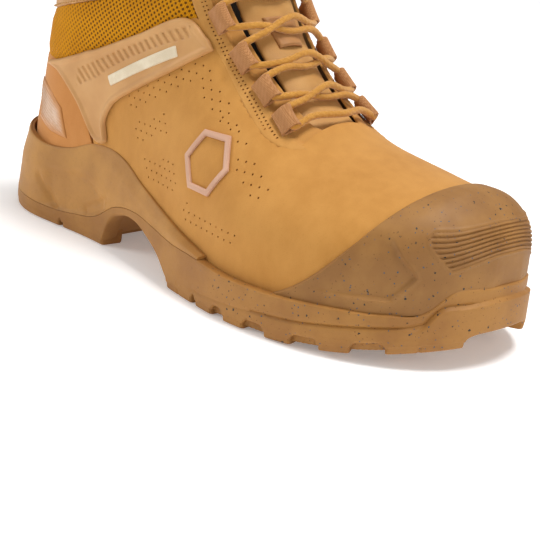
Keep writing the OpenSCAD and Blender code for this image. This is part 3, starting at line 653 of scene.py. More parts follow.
def nubuck(name, low, mid, high):
    """Brushed leather: cloudy tone, fine nap, and painted shade in its dimples."""
    f = Finish(name, 0.85, Sheen_Weight=0.1, Sheen_Roughness=0.5, Specular_IOR_Level=0.2)
    cloud = f.step(f.noise(34, 2), 0.2, 0.85)
    brushed = f.step(f.noise(5, 4, (1, 1, 0.6)), 0.25, 0.8)
    tone = f.mix(cloud, linear(low), linear(mid))
    tone = f.mix(f.math("MULTIPLY", brushed, 0.3), tone, linear(high))
    grain = f.noise(0.55, 4)
    tone = f.mix(f.math("MULTIPLY", f.step(grain, 0.52, 0.75), 0.14), tone, linear("#8E5C26"))
    # painted shade: the dimples of perforations and stitch holes are coloured dark brown, as if shaded inside
    f.colour(f.mix(f.step(f.marks("sunk"), 0.25, 0.9), tone, linear("#7A4A1C")))
    f.roughness(brushed, 0.74, 0.92)
    f.bump(grain, 0.08, 0.6)
    f.bump(f.noise(2.4, 3), 0.12, 0.4)
    return f.material


NUBUCK = nubuck("nubuck", "#B67D36", "#C68D45", "#D39C55")
STAY = nubuck("eyestay_nubuck", "#B9813C", "#C8914B", "#D29F5C")
COUNTER = nubuck("counter_nubuck", "#BC7B3B", "#C98848", "#D0955A")


def rubber(name, low, high, flecks):
    """Matte moulded rubber; flecks is a range of x over which dark specks come in."""
    f = Finish(name, 0.58, Specular_IOR_Level=0.35)
    tone = f.mix(f.step(f.noise(18, 3), 0.3, 0.7), linear(low), linear(high))
    tone = f.mix(f.math("MULTIPLY", f.step(f.noise(1.2, 3), 0.5, 0.8), 0.18), tone, linear("#7A552C"))
    if flecks:
        front = f.step(f.axis("X"), *flecks)
        ragged = f.add("ShaderNodeTexNoise", Vector=f.mm, Scale=1.6, Detail=2.0)["Color"]
        f.mm = f.add("ShaderNodeVectorMath", operation="MULTIPLY_ADD", i0=ragged, i1=(1.1, 1.1, 1.1),
                     i2=f.mm)["Vector"]
        for size, radius, share, ink in ((5.2, 0.13, 0.66, "#1E1C1A"), (3.4, 0.15, 0.62, "#26282A"),
                                         (2.2, 0.18, 0.6, "#46505A"), (1.5, 0.17, 0.58, "#6A4420")):
            spot = f.step(f.cells(size), radius, radius * 0.75)
            chosen = f.step(f.add("ShaderNodeSeparateColor", Color=f.cells(size, output="Color"))["Red"],
                            share, share + 0.02)
            tone = f.mix(f.math("MULTIPLY", f.math("MULTIPLY", spot, chosen), front), tone, linear(ink))
    f.colour(tone)
    f.roughness(f.noise(3, 3), 0.5, 0.66)
    f.bump(f.noise(0.5, 3), 0.04, 0.5)
    return f.material


SOLE_RUBBER = rubber("outsole_rubber", "#986730", "#A87638", (20, 60))
BUMPER_RUBBER = rubber("bumper_rubber", "#8C602F", "#9E7039", (60, 62))
CUP_RUBBER = rubber("cup_rubber", "#A8763A", "#B98542", None)


def leather(name, low, high):
    """Smooth leather with a fine pebbled grain."""
    f = Finish(name, 0.6, Specular_IOR_Level=0.35, Sheen_Weight=0.08)
    tone = f.mix(f.step(f.noise(16, 3), 0.3, 0.7), linear(low), linear(high))
    grain = f.cells(1.1, "DISTANCE_TO_EDGE")
    tone = f.mix(f.math("MULTIPLY", f.step(grain, 0.08, 0.0), 0.25), tone, linear(low))
    f.colour(tone)
    f.roughness(f.noise(4, 3), 0.52, 0.7)
    f.bump(f.step(grain, 0.0, 0.18), 0.05, 0.5)
    f.bump(f.noise(3, 3), 0.12, 0.4)
    return f.material


def woven(name, low, high, pitch, sheen=0.2):
    """A fine over and under weave that needs no texture coordinates."""
    f = Finish(name, 0.8, Sheen_Weight=sheen, Specular_IOR_Level=0.2)
    k = 2 * math.pi / pitch
    x, y, z = (f.axis(a) for a in "XYZ")
    one = f.math("SINE", f.math("MULTIPLY", f.math("ADD", x, z), k))
    two = f.math("SINE", f.math("MULTIPLY", f.math("ADD", y, f.math("MULTIPLY", z, -0.8)), k))
    weave = f.math("MULTIPLY_ADD", f.math("MULTIPLY", one, two), 0.5, 0.5)
    tone = f.mix(f.step(weave, 0.15, 0.8), linear(low), linear(high))
    f.colour(f.mix(f.math("MULTIPLY", f.step(f.noise(7, 3), 0.35, 0.7), 0.4), tone, linear(low)))
    f.bump(weave, 0.12, 0.7)
    f.bump(f.noise(0.4, 2), 0.04, 0.5)
    return f.material


def knit(name):
    """Golden spacer mesh: a slanted grid of small openings with painted shade in them, fainter towards the
    heel.
    """
    f = Finish(name, 0.85, Specular_IOR_Level=0.15)
    flat = f.add("ShaderNodeVectorMath", operation="MULTIPLY", i0=f.mm, i1=(1, 0, 1))["Vector"]
    turned = f.add("ShaderNodeVectorRotate", settings={"rotation_type": "Y_AXIS"}, Vector=flat,
                   Angle=math.radians(38))["Vector"]
    dots = f.add("ShaderNodeTexVoronoi", Vector=turned, Scale=1 / 2.1, Randomness=0.0)["Distance"]
    hole = f.step(dots, 0.36, 0.2)
    near = f.math("MULTIPLY_ADD", f.step(f.axis("X"), -112, -70), 0.75, 0.2)
    slant = f.add("ShaderNodeSeparateXYZ", Vector=turned)["X"]
    thread = f.step(f.math("SINE", f.math("MULTIPLY", slant, 9.0)), -0.4, 0.9)
    tone = f.mix(thread, linear("#C07C06"), linear("#DA980E"))
    tone = f.mix(f.math("MULTIPLY", f.step(f.noise(22, 2), 0.35, 0.7), 0.35), tone, linear("#AE6C08"))
    # painted shade: the openings are coloured dark, less so towards the heel
    f.colour(f.mix(f.math("MULTIPLY", hole, near), tone, linear("#5E3806")))
    f.bump(f.math("SUBTRACT", 1.0, hole), 0.35, 0.8)
    f.bump(thread, 0.05, 0.6)
    return f.material


def film(name, low, high, fade):
    """Reflective film with painted glints on its glass beads; it fades into the leather over its edge."""
    f = Finish(name, 0.42, Metallic=0.1, Specular_IOR_Level=0.5)
    beads_and_glints = f.step(f.cells(0.45), 0.5, 0.2)
    tone = f.mix(f.step(f.noise(9, 3), 0.3, 0.7), linear(low), linear(high))
    # painted glints: pale specks on the bead cells stand in for their sparkle; the same cells give the bead
    # relief
    tone = f.mix(f.math("MULTIPLY", beads_and_glints, 0.2), tone, linear("#EFE2D8"))
    f.colour(f.mix(f.step(f.marks("inland"), 0.2, fade), linear("#C08040"), tone) if fade else tone)
    f.roughness(f.noise(2, 3), 0.3, 0.5)
    f.bump(beads_and_glints, 0.02, 0.5)
    return f.material


def moulded(name, low, high, rough):
    """Moulded plastic with a soft satin surface."""
    f = Finish(name, rough, Specular_IOR_Level=0.4)
    f.colour(f.mix(f.step(f.noise(20, 3), 0.3, 0.7), linear(low), linear(high)))
    f.roughness(f.noise(5, 3), rough - 0.06, rough + 0.08)
    f.bump(f.noise(0.35, 2), 0.03, 0.5)
    return f.material


def metal(name, low, high, rough=0.35):
    """Satin metal with fine brush lines."""
    f = Finish(name, rough, Metallic=1.0)
    lines = f.noise(0.35, 2, (0.1, 1, 1))
    f.colour(f.mix(f.step(lines, 0.3, 0.7), linear(low), linear(high)))
    f.roughness(lines, rough - 0.08, rough + 0.12)
    f.bump(lines, 0.02, 0.5)
    return f.material


def foam(name, low, high, cell=0.9):
    """Foam or board with an open, pitted surface."""
    f = Finish(name, 0.92, Specular_IOR_Level=0.15)
    pits = f.step(f.cells(cell), 0.2, 0.6)
    f.colour(f.mix(pits, linear(low), linear(high)))
    f.bump(pits, 0.2, 0.6)
    return f.material


OVERLAY = moulded("overlay_plastic", "#BF8B51", "#CD9B61", 0.52)
TONGUE_SKIN = leather("tongue_leather", "#BA8746", "#CA9856")
COLLAR_SKIN = leather("collar_leather", "#C08C50", "#CB9A62")
MESH_CLOTH = knit("ankle_mesh")
BADGE = moulded("badge_plastic", "#C4967A", "#CFA387", 0.48)
FILM = film("reflective_film", "#C49A78", "#D8B79C", 6)
STRIP_FILM = film("strip_film", "#D6C4A4", "#E6D8BC", 0)
WEBBING = woven("webbing", "#9C6636", "#C08A58", 0.9)
LACE_BRAID = woven("lace_cord", "#B47A2C", "#D49A44", 0.7, sheen=0.3)
TIP = moulded("aglet_plastic", "#5C3A1A", "#7A5026", 0.25)
METAL = metal("hook_metal", "#806A48", "#A08A66")
LINING_CLOTH = woven("lining_fabric", "#3A342C", "#564D41", 1.3)
FOOTBED_CLOTH = woven("footbed_fabric", "#202023", "#36363A", 1.1)
STEEL = metal("steel", "#7C8088", "#9A9EA6", 0.4)
BLACK_RUBBER = moulded("gasket_rubber", "#161616", "#222222", 0.6)
PLATE = woven("plate_fabric", "#A89F6E", "#CEC698", 1.6)
BOARD = foam("board", "#8E7B62", "#AA977D")
STIFFENER = moulded("stiffener", "#C8C2B0", "#D8D3C4", 0.5)
GEL = moulded("pad_rubber", "#B8661A", "#D07E2C", 0.4)
MIDSOLE = foam("midsole_foam", "#BE9F68", "#D2B682", 1.4)
WHITE = Finish("floor", 1.0, Specular_IOR_Level=0.0)
WHITE.colour(linear("#FAFAFA"))
WHITE.shader.inputs["Emission Color"].default_value = (1, 1, 1, 1)
WHITE.shader.inputs["Emission Strength"].default_value = 0.2

bpy.ops.mesh.primitive_plane_add(size=12)
floor = bpy.context.object
floor.name = "floor"
floor.location.z = -0.0002
floor.data.materials.append(WHITE.material)
floor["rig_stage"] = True

# ---- Laces: the routes are the frame's own ----

LACE_D, LOOP_LEN, LOOP_IN, LOOP_LIFT = 3.4, 9, 2.2, 3.4
ROWS = np.array([(49, 84.6), (34.5, 95), (19.5, 107), (5, 122.4), (-6.6, 138.6)])
HOOK = np.array([-14, 151.0])
HOOK_DIR = unit(np.array([-7.4, 12.4]))
CROSS_X = [51.5, 38, 25.6, 13, 4, -2.5]
LACE_LOW, LACE_SIDE = 0.6, 2.7
LACE_HIGH = LACE_LOW + LACE_D + 0.9
REACH, HOOK_REACH = LOOP_LEN / 2 + 0.6, 2.1
KNOT = np.array([4.2, 6, 4.2])
KNOT_UP, KNOT_OUT = np.array([-0.5, 0, 0.866]), np.array([0.866, 0, 0.5])
KNOT_AT = np.array([-5.2, centre(-5.2), crest(-5.2)]) + KNOT_OUT * 6
BOW = [(-13.5, 158.4, 3.8), (-22, 156.4, 3.3), (-33, 150.8, 3.2), (-44, 145.4, 3.2), (-54, 142, 3.2),
       (-62, 143.4, 3.2), (-66, 149, 3.2), (-63, 154.8, 3.2), (-55, 157, 3.2), (-44, 157.6, 3.2),
       (-33, 159, 3.2), (-24, 160.8, 4.5), (-15, 161.2, 7.2)]
END = [(-22, 146.4, 6.6), (-29, 143.2, 4.2), (-38, 140.5, 3.2), (-50, 137.6, 3.2), (-62, 135, 3.2),
       (-75, 132, 3.2), (-87, 128.5, 3.2), (-96, 125, 3.2)]
OVER_HOOK, AGLET = 5.4, 14


def eye_frame(side, i):
    """Middle, direction and outward direction of the eye of a row; row 5 is the hooks'."""
    p = ROWS[i] - (2.2, 0.6) if i < 5 else HOOK
    way = unit(ROWS[min(i + 1, 4)] - ROWS[max(i - 1, 0)]) if i < 5 else HOOK_DIR
    u = unit(skin(side, *(p + way)) - skin(side, *(p - way)))
    n = outward(side, *p)
    return skin(side, *p, 0.6) + n * LOOP_LIFT, u, n


def eye_at(side, i, s):
    c, u, _ = eye_frame(side, i)
    return c + u * s


def over(side, r, f, d):
    """A point over the tongue: r counts the rows, f goes from the crest to the row of eyes."""
    k = min(int(r), 4)
    t = r - k
    R = ROWS[k] + ((ROWS[k + 1] if k < 4 else HOOK) - ROWS[k]) * t
    x = CROSS_X[k] + (CROSS_X[k + 1] - CROSS_X[k]) * t
    top = np.array([x, float(crest(x, d))])
    return skin(side, *(top + (R - top) * f**1.8), d)


def crossing(side, i, d):
    return [eye_at(side, i, REACH), over(side, i + 0.42, 0.5, LACE_SIDE), over(side, i + 0.5, 0, d),
            over(-side, i + 0.58, 0.5, LACE_SIDE), eye_at(-side, i + 1, -(REACH if i < 4 else HOOK_REACH))]


def strand(side):
    points = []
    for i in range(5):
        s = side if i % 2 == 0 else -side
        points += [eye_at(s, i, 0)] + crossing(s, i, LACE_HIGH if side < 0 else LACE_LOW)
    return points


def knot_port(side, up, out, away=0.1):
    return KNOT_AT + KNOT_UP * up + KNOT_OUT * out + (0, side * (KNOT[1] + away), 0)


def to_knot(side):
    return [eye_at(side, 5, 0), eye_at(side, 5, 3.4), knot_port(side, -2, -2, 3), knot_port(side, -2, -2)]


def bar_side(side):
    return over(side, 0, 0.6, LACE_LOW + 1.4) + (2.6, 0, 0)


def lie(side, points):
    return [skin(side, x, z, d) for x, z, d in points]


LACE_ROUTE = (to_knot(1)[::-1] + strand(-1)[::-1] + [eye_at(-1, 0, -REACH), bar_side(-1),
              over(-1, 0, 0, LACE_LOW) + (4.4, 0, 0), bar_side(1), eye_at(1, 0, -REACH)]
              + strand(1) + to_knot(-1))


def even(points, step):
    """Points a step apart along the smooth path through the given ones."""
    P = path(points, np.linspace(0, 1, 40 * len(points)))
    length = run_along(P)[-1]
    return spots(P, np.linspace(0, length, max(int(length / step), 2) + 1)), length


def braid(name, points, diameter, pitch=4.6):
    """A round braided lace: strands cross in two directions over a soft core."""
    step = 0.45
    P, length = even(points, step)

    def profile(i, a):
        s = 2 * np.pi * i * step / pitch
        left, right = np.sin(4 * a + s * 1.3), np.sin(4 * a - s * 1.3)
        return diameter / 2 * (0.94 + 0.07 * np.maximum(left, right))

    return loft(name, tube_rings(P, 20, profile), sharp=None), P, length


for label, side in SIDES.items():
    bow_points = ([knot_port(side, 2, -2), knot_port(side, 2.4, -2, 3)] + lie(side, BOW)
                  + [knot_port(side, 2.8, 2, 3), knot_port(side, 2, 2)])
    bow, line, length = braid(label + "_bow_loop", bow_points, LACE_D - 0.1)
    place(bow, "boot", "lace_cord", LACE_BRAID, "bow_loop_" + label)

    _, _, n = eye_frame(side, 5)
    end_points = [knot_port(side, -2, 2), knot_port(side, -2.4, 2.4, 3)]
    end_points.append(eye_at(side, 5, -0.5) + n * OVER_HOOK)
    end_points += lie(side, END)
    end, line, length = braid(label + "_lace_end", end_points, LACE_D - 0.1)
    place(end, "boot", "lace_cord", LACE_BRAID, "lace_end_" + label)
    tip, u = line[-1], unit(line[-1] - line[-6])
    stations = np.array([-2.0, -1.6, -0.6, 0.4, 5, 10, AGLET - 0.8, AGLET - 0.2, AGLET])
    radii = np.array([1.55, 1.85, 1.9, 1.5, 1.42, 1.4, 1.36, 1.1, 0.7])
    aglet = loft(label + "_aglet", tube_rings(tip + stations[:, None] * u, 20, lambda i, a: radii[i]))
    place(aglet, "boot", "aglet_plastic", TIP, "aglet_" + label)

lace, _, _ = braid("crossed_lace", LACE_ROUTE, LACE_D)
place(lace, "boot", "lace_cord", LACE_BRAID, "lace")


def wrapped(y, size, tilt):
    """A turn of lace round the knot's middle, at y along it."""
    return [KNOT_AT + (0, y + tilt * t / (2 * np.pi), 0) + size * (KNOT_UP * (KNOT[0] - 1.5) * math.cos(t)
            + KNOT_OUT * (KNOT[2] - 1.5) * math.sin(t)) for t in np.linspace(0, 2.6 * np.pi, 14)]


WRAPS = [(-4.0, 0.8, 1.6), (-1.2, 1.0, 1.6), (1.4, 1.0, 1.2), (3.4, 0.8, 0.8)]
turns = [braid(f"turn_{k}", wrapped(*wrap), LACE_D, 4.0)[0] for k, wrap in enumerate(WRAPS)]
core = [KNOT_AT + (0, y, 0) + KNOT_UP * 0.5 * math.sin(y) for y in np.linspace(-5.6, 5.6, 6)]
turns.append(braid("core", core, 4.4)[0])
place(join("bow_knot", turns), "boot", "lace_cord", LACE_BRAID, "lace_knot")

# ---- Eyestays, webbing loops and hooks ----

GROUND, SHEET_LOW = 0.4, -2.0
LOOP_SHOWN = 11.8
LACE_EDGE = [(62, 80.5), (50, 85.5), (35, 96), (20, 108), (5, 124), (-6, 140), (-14, 154), (-17, 160)]
STAY_LOW = [(62.8, 75.2), (55, 74.4), (42, 78), (25, 89), (9, 103), (-10, 122), (-21, 142), (-28, 158)]
QUARTER_LOW = [(x, float(curve(FLOOR, x)) + GROUND) for x in (-60, -50, -38, -22, -5, 10, 30, 50, 69.7)]
QUARTER_TOP = [(-88, 84), (-66, 93.2), (-40, 104.2), (-17, 115.4), (-8, 120), (10, 104.4), (26.3, 90.4),
               (43, 79.6), (55, 76.2), (63.3, 77)]
EDGE_LINE = path(LACE_EDGE, np.linspace(0, 1, 60))


def sway(x, z):
    """Slow unevenness that all the leather shares, so that joined pieces stay flush."""
    slow = np.sin(x / 9.0 + z / 15.0) * np.sin(z / 11.0 - x / 23.0)
    return 0.16 * slow + 0.1 * np.sin(x / 5.3) * np.sin(z / 6.1)


def stay_relief(x, z, d):
    """The outer layer ends along a step, and the loops come out from under it."""
    inner = segment_distance(x, z, EDGE_LINE)
    return sway(x, z) - 1.1 * (1 - smooth((inner - 4.6) / 0.7)) + 0.12 * ridge(inner - 5.6, 0.6)


def stitch_row(behind, start):
    """Stitch holes at a distance behind the edge of the eyestay."""
    P = path(LACE_EDGE, np.linspace(0.02, 0.86, 60))
    return row_of(P + left_of(tangents(P)) * behind, 2.1, start)


STITCH_HOLES = np.concatenate([stitch_row(7.8, 0), stitch_row(9.2, 1.05)])


def inward(side, u, n):
    """Direction across an eye, away from the lace edge."""
    w = np.cross(u, n)
    return w * np.sign(-(w @ np.array([-1, side * 0.6, -0.4])))


def webbing_loop(side, i):
    """Folded webbing that comes from under the stay's step, goes round the lace and back."""
    c, u, n = eye_frame(side, i)
    w = inward(side, u, n)
    a = np.radians(100 - 215 * np.linspace(0, 1, 30)[::4])
    turn = (LOOP_IN + 0.1) * np.stack([np.cos(a), np.sin(a)], 1)
    route = [(-5.4, -2.9), (-4.0, -1.4), (-2.3, 1.1), *turn, (-3.2, -3.2), (-5.4, -3.3)]
    line = path(route, np.linspace(0, 1, 46))
    out = left_of(tangents(line))
    half = LOOP_SHOWN / 2
    rest = np.linspace(0.7 - half, half - 0.7, 28)
    stations = np.concatenate([[-half, 0.25 - half], rest, [half - 0.25, half]])
    edge = half - np.abs(stations)
    thick = 0.45 * quarter_round(edge, 0.5) + 0.08
    rib = 0.07 * np.cos(np.arange(len(line)) * np.pi)[None, :] * (edge > 0.9)[:, None]
    flare = 1 + 0.03 * (np.abs(stations) / half) ** 4
    pulled = 0.7 * (np.abs(stations) / half)[:, None] ** 3 * smooth((line[:, 0] + 5) / 5)[None]
    grids = []
    for sign in (1, -1):
        xy = line * flare[:, None, None] + out * (sign * (thick[:, None] + rib))[..., None]
        xy[..., 0] += pulled
        grids.append(c + stations[:, None, None] * u + xy[..., :1] * w + xy[..., 1:] * n)
    return shell(f"loop_{i}", *grids)


def speed_hook(side):
    """A bent metal hook on a round base."""
    c, u, n = eye_frame(side, 5)
    w = inward(side, u, n)
    a = np.radians(np.linspace(-120, 150, 26))[:, None]
    radial = np.cos(a) * w + np.sin(a) * n
    middle = c + (LOOP_IN + 0.55) * radial
    across, along = np.hsplit(circle(12), 2)
    hook = loft("hook", middle[:, None] + 1.6 * across * u + 0.42 * along * radial[:, None], sharp=60)
    base = c - n * (LOOP_LIFT - 0.1)
    levels = [(2.6, -0.4), (2.7, 0.1), (2.4, 0.45), (1.2, 0.62), (0.5, 0.5)]
    rings = np.array([base + n * h + r * circle(24) @ np.array([u, w]) for r, h in levels])
    return [hook, loft("hook_base", rings, sharp=60)]


hooks = []
for label, side in SIDES.items():
    outline = loop_of(STAY_LOW, LACE_EDGE, 1.0)
    stay = cut_sheet(label + "_stay", side, outline, 0.9, 0.16, SHEET_LOW, 0.7, -0.6,
                     STITCH_HOLES, (0.42, 0.6), stay_relief)
    place(stay, "boot", "eyestay_nubuck", STAY, "eyestay_" + label)
    loops = join(label + "_webbing_loops", [webbing_loop(side, i) for i in range(5)])
    place(loops, "boot", "webbing", WEBBING, "lace_loops_" + label)
    hooks += speed_hook(side)
place(join("speed_hooks", hooks), "boot", "hook_metal", METAL, "lace_hooks")

# ---- Quarters: perforated nubuck ----


def patch(corners, pitch):
    """Staggered points that fill a four-sided patch of the side view."""
    C = np.array(corners, float)
    G = lattice(C, pitch)
    return G[within(G, C)]


PERFORATIONS = np.concatenate([patch(c, 4.4) for c in (
    [(-48, 82), (-22, 96), (-2, 105), (4, 98), (-18, 84), (-42, 70)],
    [(4, 100), (22, 86), (30, 79), (22, 76), (8, 86), (0, 94)],
    [(-40, 66), (-14, 76), (-10, 68), (-34, 56)],
    [(-28, 52), (0, 58), (4, 46), (0, 40), (-24, 44)],
    [(10, 42), (54, 40), (54, 34), (14, 34)],
    [(38, 72), (64, 60), (62, 52), (42, 60), (34, 66)],
    [(18, 84), (40, 75), (44, 70), (24, 76)])])
SLOTS = [[(6, 103.5), (15, 95)], [(23, 90.6), (32.5, 84.4)], [(40.6, 79.6), (51, 75.2)]]


def quarter_relief(x, z, d):
    groove = sum(ridge(segment_distance(x, z, s), 0.75) for s in SLOTS)
    return sway(x, z) - 0.8 * groove


for label, side in SIDES.items():
    outline = loop_of(QUARTER_LOW, QUARTER_TOP, 1.4)
    quarter = cut_sheet(label + "_quarter", side, outline, 1.5, 0, SHEET_LOW, 0.4, -0.3,
                        PERFORATIONS, (0.5, 0.72), quarter_relief)
    place(quarter, "boot", "nubuck", NUBUCK, "quarter_" + label)

# ---- Vamp ----


def ease_to_tip(n):
    """n + 1 values from 0 to 1 that crowd together at 1."""
    return 1 - (1 - np.linspace(0, 1, n + 1)) ** 2.2


TOE_END = UPPER_TOE - 0.01
VAMP_EDGE = [(68.4, 15)] + [(x, float(curve(FLOOR, x)) + GROUND) for x in (95, 120, 146.2)]
js = np.linspace(-1, 1, 161)
P = over_grid(VAMP_EDGE, 56.8, TOE_END, ease_to_tip(90), js, ease=True)
N = normals(P)
height = 0.05 + sway(P[..., 0], P[..., 2]) - 0.3 * (1 - quarter_round(border(P, "bB"), 0.4))
vamp = shell("vamp_leather", P + N * height[..., None], P + N * SHEET_LOW, closed=True)
place(vamp, "boot", "nubuck", NUBUCK, "vamp")

# ---- Heel counter, backstay, ankle mesh ----

COUNTER_FRONT = [(-61, 30), (-77, 57), (-90, 83)]
BACKSTAY_SIDE = [(-127, 83.0), (-126, 93), (-125, 104)]


def back_piece(name, EDGE, za, zb, n, relief):
    """A panel round the heel, its edges rounded, with relief added to its outer face."""
    P = back_grid(EDGE, za, zb, np.linspace(0, 1, n + 1), np.linspace(-1, 1, 141))
    N, d = normals(P), border(P)
    height = relief(P[..., 0], P[..., 2], d) - 0.35 * (1 - quarter_round(d, 0.5))
    return shell(name + "_leather", P + N * height[..., None], P + N * SHEET_LOW)


counter = back_piece("counter", COUNTER_FRONT, 30, 83.4, 40, lambda x, z, d: sway(x, z))
place(counter, "boot", "counter_nubuck", COUNTER, "heel_counter")
backstay = back_piece("backstay", BACKSTAY_SIDE, 82.8, 103.4, 22, lambda x, z, d: 0.25 * smooth(d / 3))
place(backstay, "boot", "counter_nubuck", COUNTER, "backstay")

CUFF_FRONT = [(-16.4, 130.8), (-21, 140), (-26, 150), (-29.2, 158), (-31, 163)]


def cuff_low(x):
    """Lower edge of the collar, straight in the side view."""
    start = float(heel_x(CUFF_LOW_BACK))
    return CUFF_LOW_BACK + (CUFF_FRONT[0][1] - CUFF_LOW_BACK) * (x - start) / (CUFF_FRONT[0][0] - start)


MESH_LOW = [(-126.8, 82.8), (-108, 82.8), (-89, 83.4), (-66, 93.9), (-40, 105), (-18, 116.2),
            (-8.6, 119.2)]
MESH_TOP = [(x, cuff_low(x) + 1.6) for x in (-124.4, -105, -85, -65, -45, -25, -15.6)]
OVERLAY_TOP = [(-114, 81), (-106, 83), (-98, 85.2), (-90, 88), (-83, 90.6), (-76, 93.4), (-68, 96),
               (-40, 108), (-15, 119.5), (-0.6, 112)]
OVERLAY_LOW = [(-113, 79.6), (-99, 77.5), (-84, 67), (-69, 51), (-59, 51.5), (-60.5, 61), (-57, 68.5),
               (-49, 75.5), (-17, 94), (3.2, 107.6)]
STRIP_LOW, STRIP_TOP = [(-56, 80), (-35, 91), (-13, 102)], [(-58.7, 84.4), (-37.6, 95.6), (-15.6, 106.8)]
RIB_TOP = [(-85, 83), (-72, 89), (-57, 96), (-40, 104), (-25, 111.5), (-12, 116.5)]
RIB_LOW = [(-77, 77), (-67, 82), (-56, 89), (-39, 98), (-23, 105.5), (-9, 111)]
RIB_PITCH = 3.5


def overlay_relief(x, z, d):
    """A rounded rim round the piece, and slanted ribs in a sunken band."""
    rim = 0.5 * ridge(d - 1.5, 1.4) - 0.25 * smooth((d - 2.4) / 1.2)
    up = z - curve(RIB_LOW, x)
    t = up / (curve(RIB_TOP, x) - curve(RIB_LOW, x))
    band = smooth(t / 0.12) * smooth((1 - t) / 0.12) * smooth((x + 84) / 3) * smooth((-8 - x) / 3)
    phase = (x + 0.75 * up) / RIB_PITCH
    rib = smooth((np.cos(2 * np.pi * phase) + 0.55) / 0.9)
    return rim + band * (0.75 * rib - 0.7)


def mesh_relief(x, z, d):
    """Soft padding that pulls in towards its seams."""
    return 1.0 * smooth(d / 7) - 0.15


for label, side in SIDES.items():
    outline = loop_of(MESH_LOW, MESH_TOP, 1.5)
    mesh = cut_sheet(label + "_knit", side, outline, 1.5, -0.1, SHEET_LOW, 0.8, -0.6, relief=mesh_relief)
    place(mesh, "boot", "ankle_mesh", MESH_CLOTH, "ankle_mesh_" + label)
    outline = loop_of(OVERLAY_LOW, OVERLAY_TOP, 0.7)
    overlay = cut_sheet(label + "_overlay", side, outline, 0.55, 2.0, 0.4, 1.3, 0.5, relief=overlay_relief)
    place(overlay, "boot", "overlay_plastic", OVERLAY, "ankle_overlay_" + label)

strip = cut_sheet("plain_strip", -1, loop_of(STRIP_LOW, STRIP_TOP, 0.7), 0.9, 2.5, 1.7, 0.5)
place(strip, "boot", "reflective_film", STRIP_FILM, "overlay_strip")


def film_relief(x, z, d):
    """Fine slanted ribs that fade at the film's edge."""
    return 0.22 * np.cos(2 * np.pi * (z + 0.35 * x) / 1.7) * smooth(d / 2.5)


FILM_LOW, FILM_TOP = [(-120, 50), (-106, 46.5), (-91, 45.5)], [(-127, 70), (-112, 68), (-97, 60)]
outline = loop_of(FILM_LOW, FILM_TOP, 0.6)
films = [cut_sheet("film", side, outline, 0.42, 0.75, 0.05, 1.8, 0.1, relief=film_relief) for side in (-1, 1)]
place(join("ribbed_film", films), "boot", "reflective_film", FILM, "heel_reflectors")

# ---- Badge: a plain six-sided ring ----

BADGE_X, BADGE_Z, BADGE_R = 22, 62, 15


def hexagon(a, r):
    """Point of a six-sided ring of a corner radius r, at an angle in degrees."""
    q = r * math.cos(math.radians(30)) / np.cos(np.radians(a % 60 - 30))
    return BADGE_X + q * np.cos(np.radians(a)), BADGE_Z + q * np.sin(np.radians(a))


BADGE_SECTION = [(0.80, 0.1), (0.80, 1.0), (0.82, 1.22), (0.85, 1.3), (0.95, 1.3), (0.98, 1.22), (1.0, 1.0),
                 (1.0, 0.1)]
rings = []
for a in range(0, 360, 3):
    ring = [(hexagon(a, BADGE_R * r), h) for r, h in BADGE_SECTION]
    rings.append([skin(-1, x, z) + outward(-1, x, z) * h for (x, z), h in ring])
badge = loft("ring_badge", np.array(rings), closed=True, sharp=35)
place(badge, "boot", "badge_plastic", BADGE, "side_badge")

# ---- Sole ----


def plan_line(step):
    """Points of the sole's outline, from the heel along the outer side and back, and their normals."""
    x = -SOLE_X * np.cos(np.linspace(0, np.pi, 3000))
    out = np.stack([x, centre(x) - sole_half(-1, x)], 1)
    ins = np.stack([x, centre(x) + sole_half(1, x)], 1)[::-1]
    P = even_ring(np.concatenate([out, ins[1:-1]]), step)
    return P, -left_of(ring_tangents(P, 2))


RING, RING_N = plan_line(0.75)
RX = RING[:, 0]


def wall_at(index, inset, z):
    """Points of the sole's wall: ring points moved in by inset, at a height."""
    p = RING[index] - RING_N[index] * np.asarray(inset)[..., None]
    return np.concatenate([p, np.broadcast_to(np.asarray(z), p.shape[:-1])[..., None]], -1)


GROOVE_TOE = [(149, 29), (144, 28), (142, 26), (139, 20), (132, 18), (108, 14), (86, 11), (70, 10)]
GROOVE_BAND = [(30, 6.5), (64, 9), (95, 12), (132, 18)]
BAND_TOP = [(60, 9), (86, 11), (108, 14), (132, 18), (139, 20), (142, 26), (149, 29)]
LUG_DEPTH, LUG_GAP, ARCH_FILLET = 13.0, 3.2, 2.6
EDGE_LUGS = [(-146, -90.4), (-88.6, -54.5), (8, 30), (33, 46), (53, 66), (77, 91), (103, 116), (128, 148.5)]


def sole_relief(x, z):
    """Grooves along the wall, and a band that stands out below the toe guard."""
    groove = -0.55 * ridge(segment_distance(x, z, GROOVE_TOE), 0.75)
    groove -= 0.35 * ridge(segment_distance(x, z, GROOVE_BAND), 0.8)
    below = smooth((curve(BAND_TOP, x) - z) / 1.5)
    return groove + 0.35 * smooth((x - 60) / 25) * below - 1.5 * smooth((x - 130) / 12) * (1 - below)


def arch_fillet(x):
    """How far the wall comes down at and beside the lugs, so that the gaps end in round arches."""
    away = np.min([np.maximum(np.maximum(a - x, x - b), 0) for a, b in EDGE_LUGS], axis=0)
    return ARCH_FILLET * (1 - quarter_round(away, ARCH_FILLET))


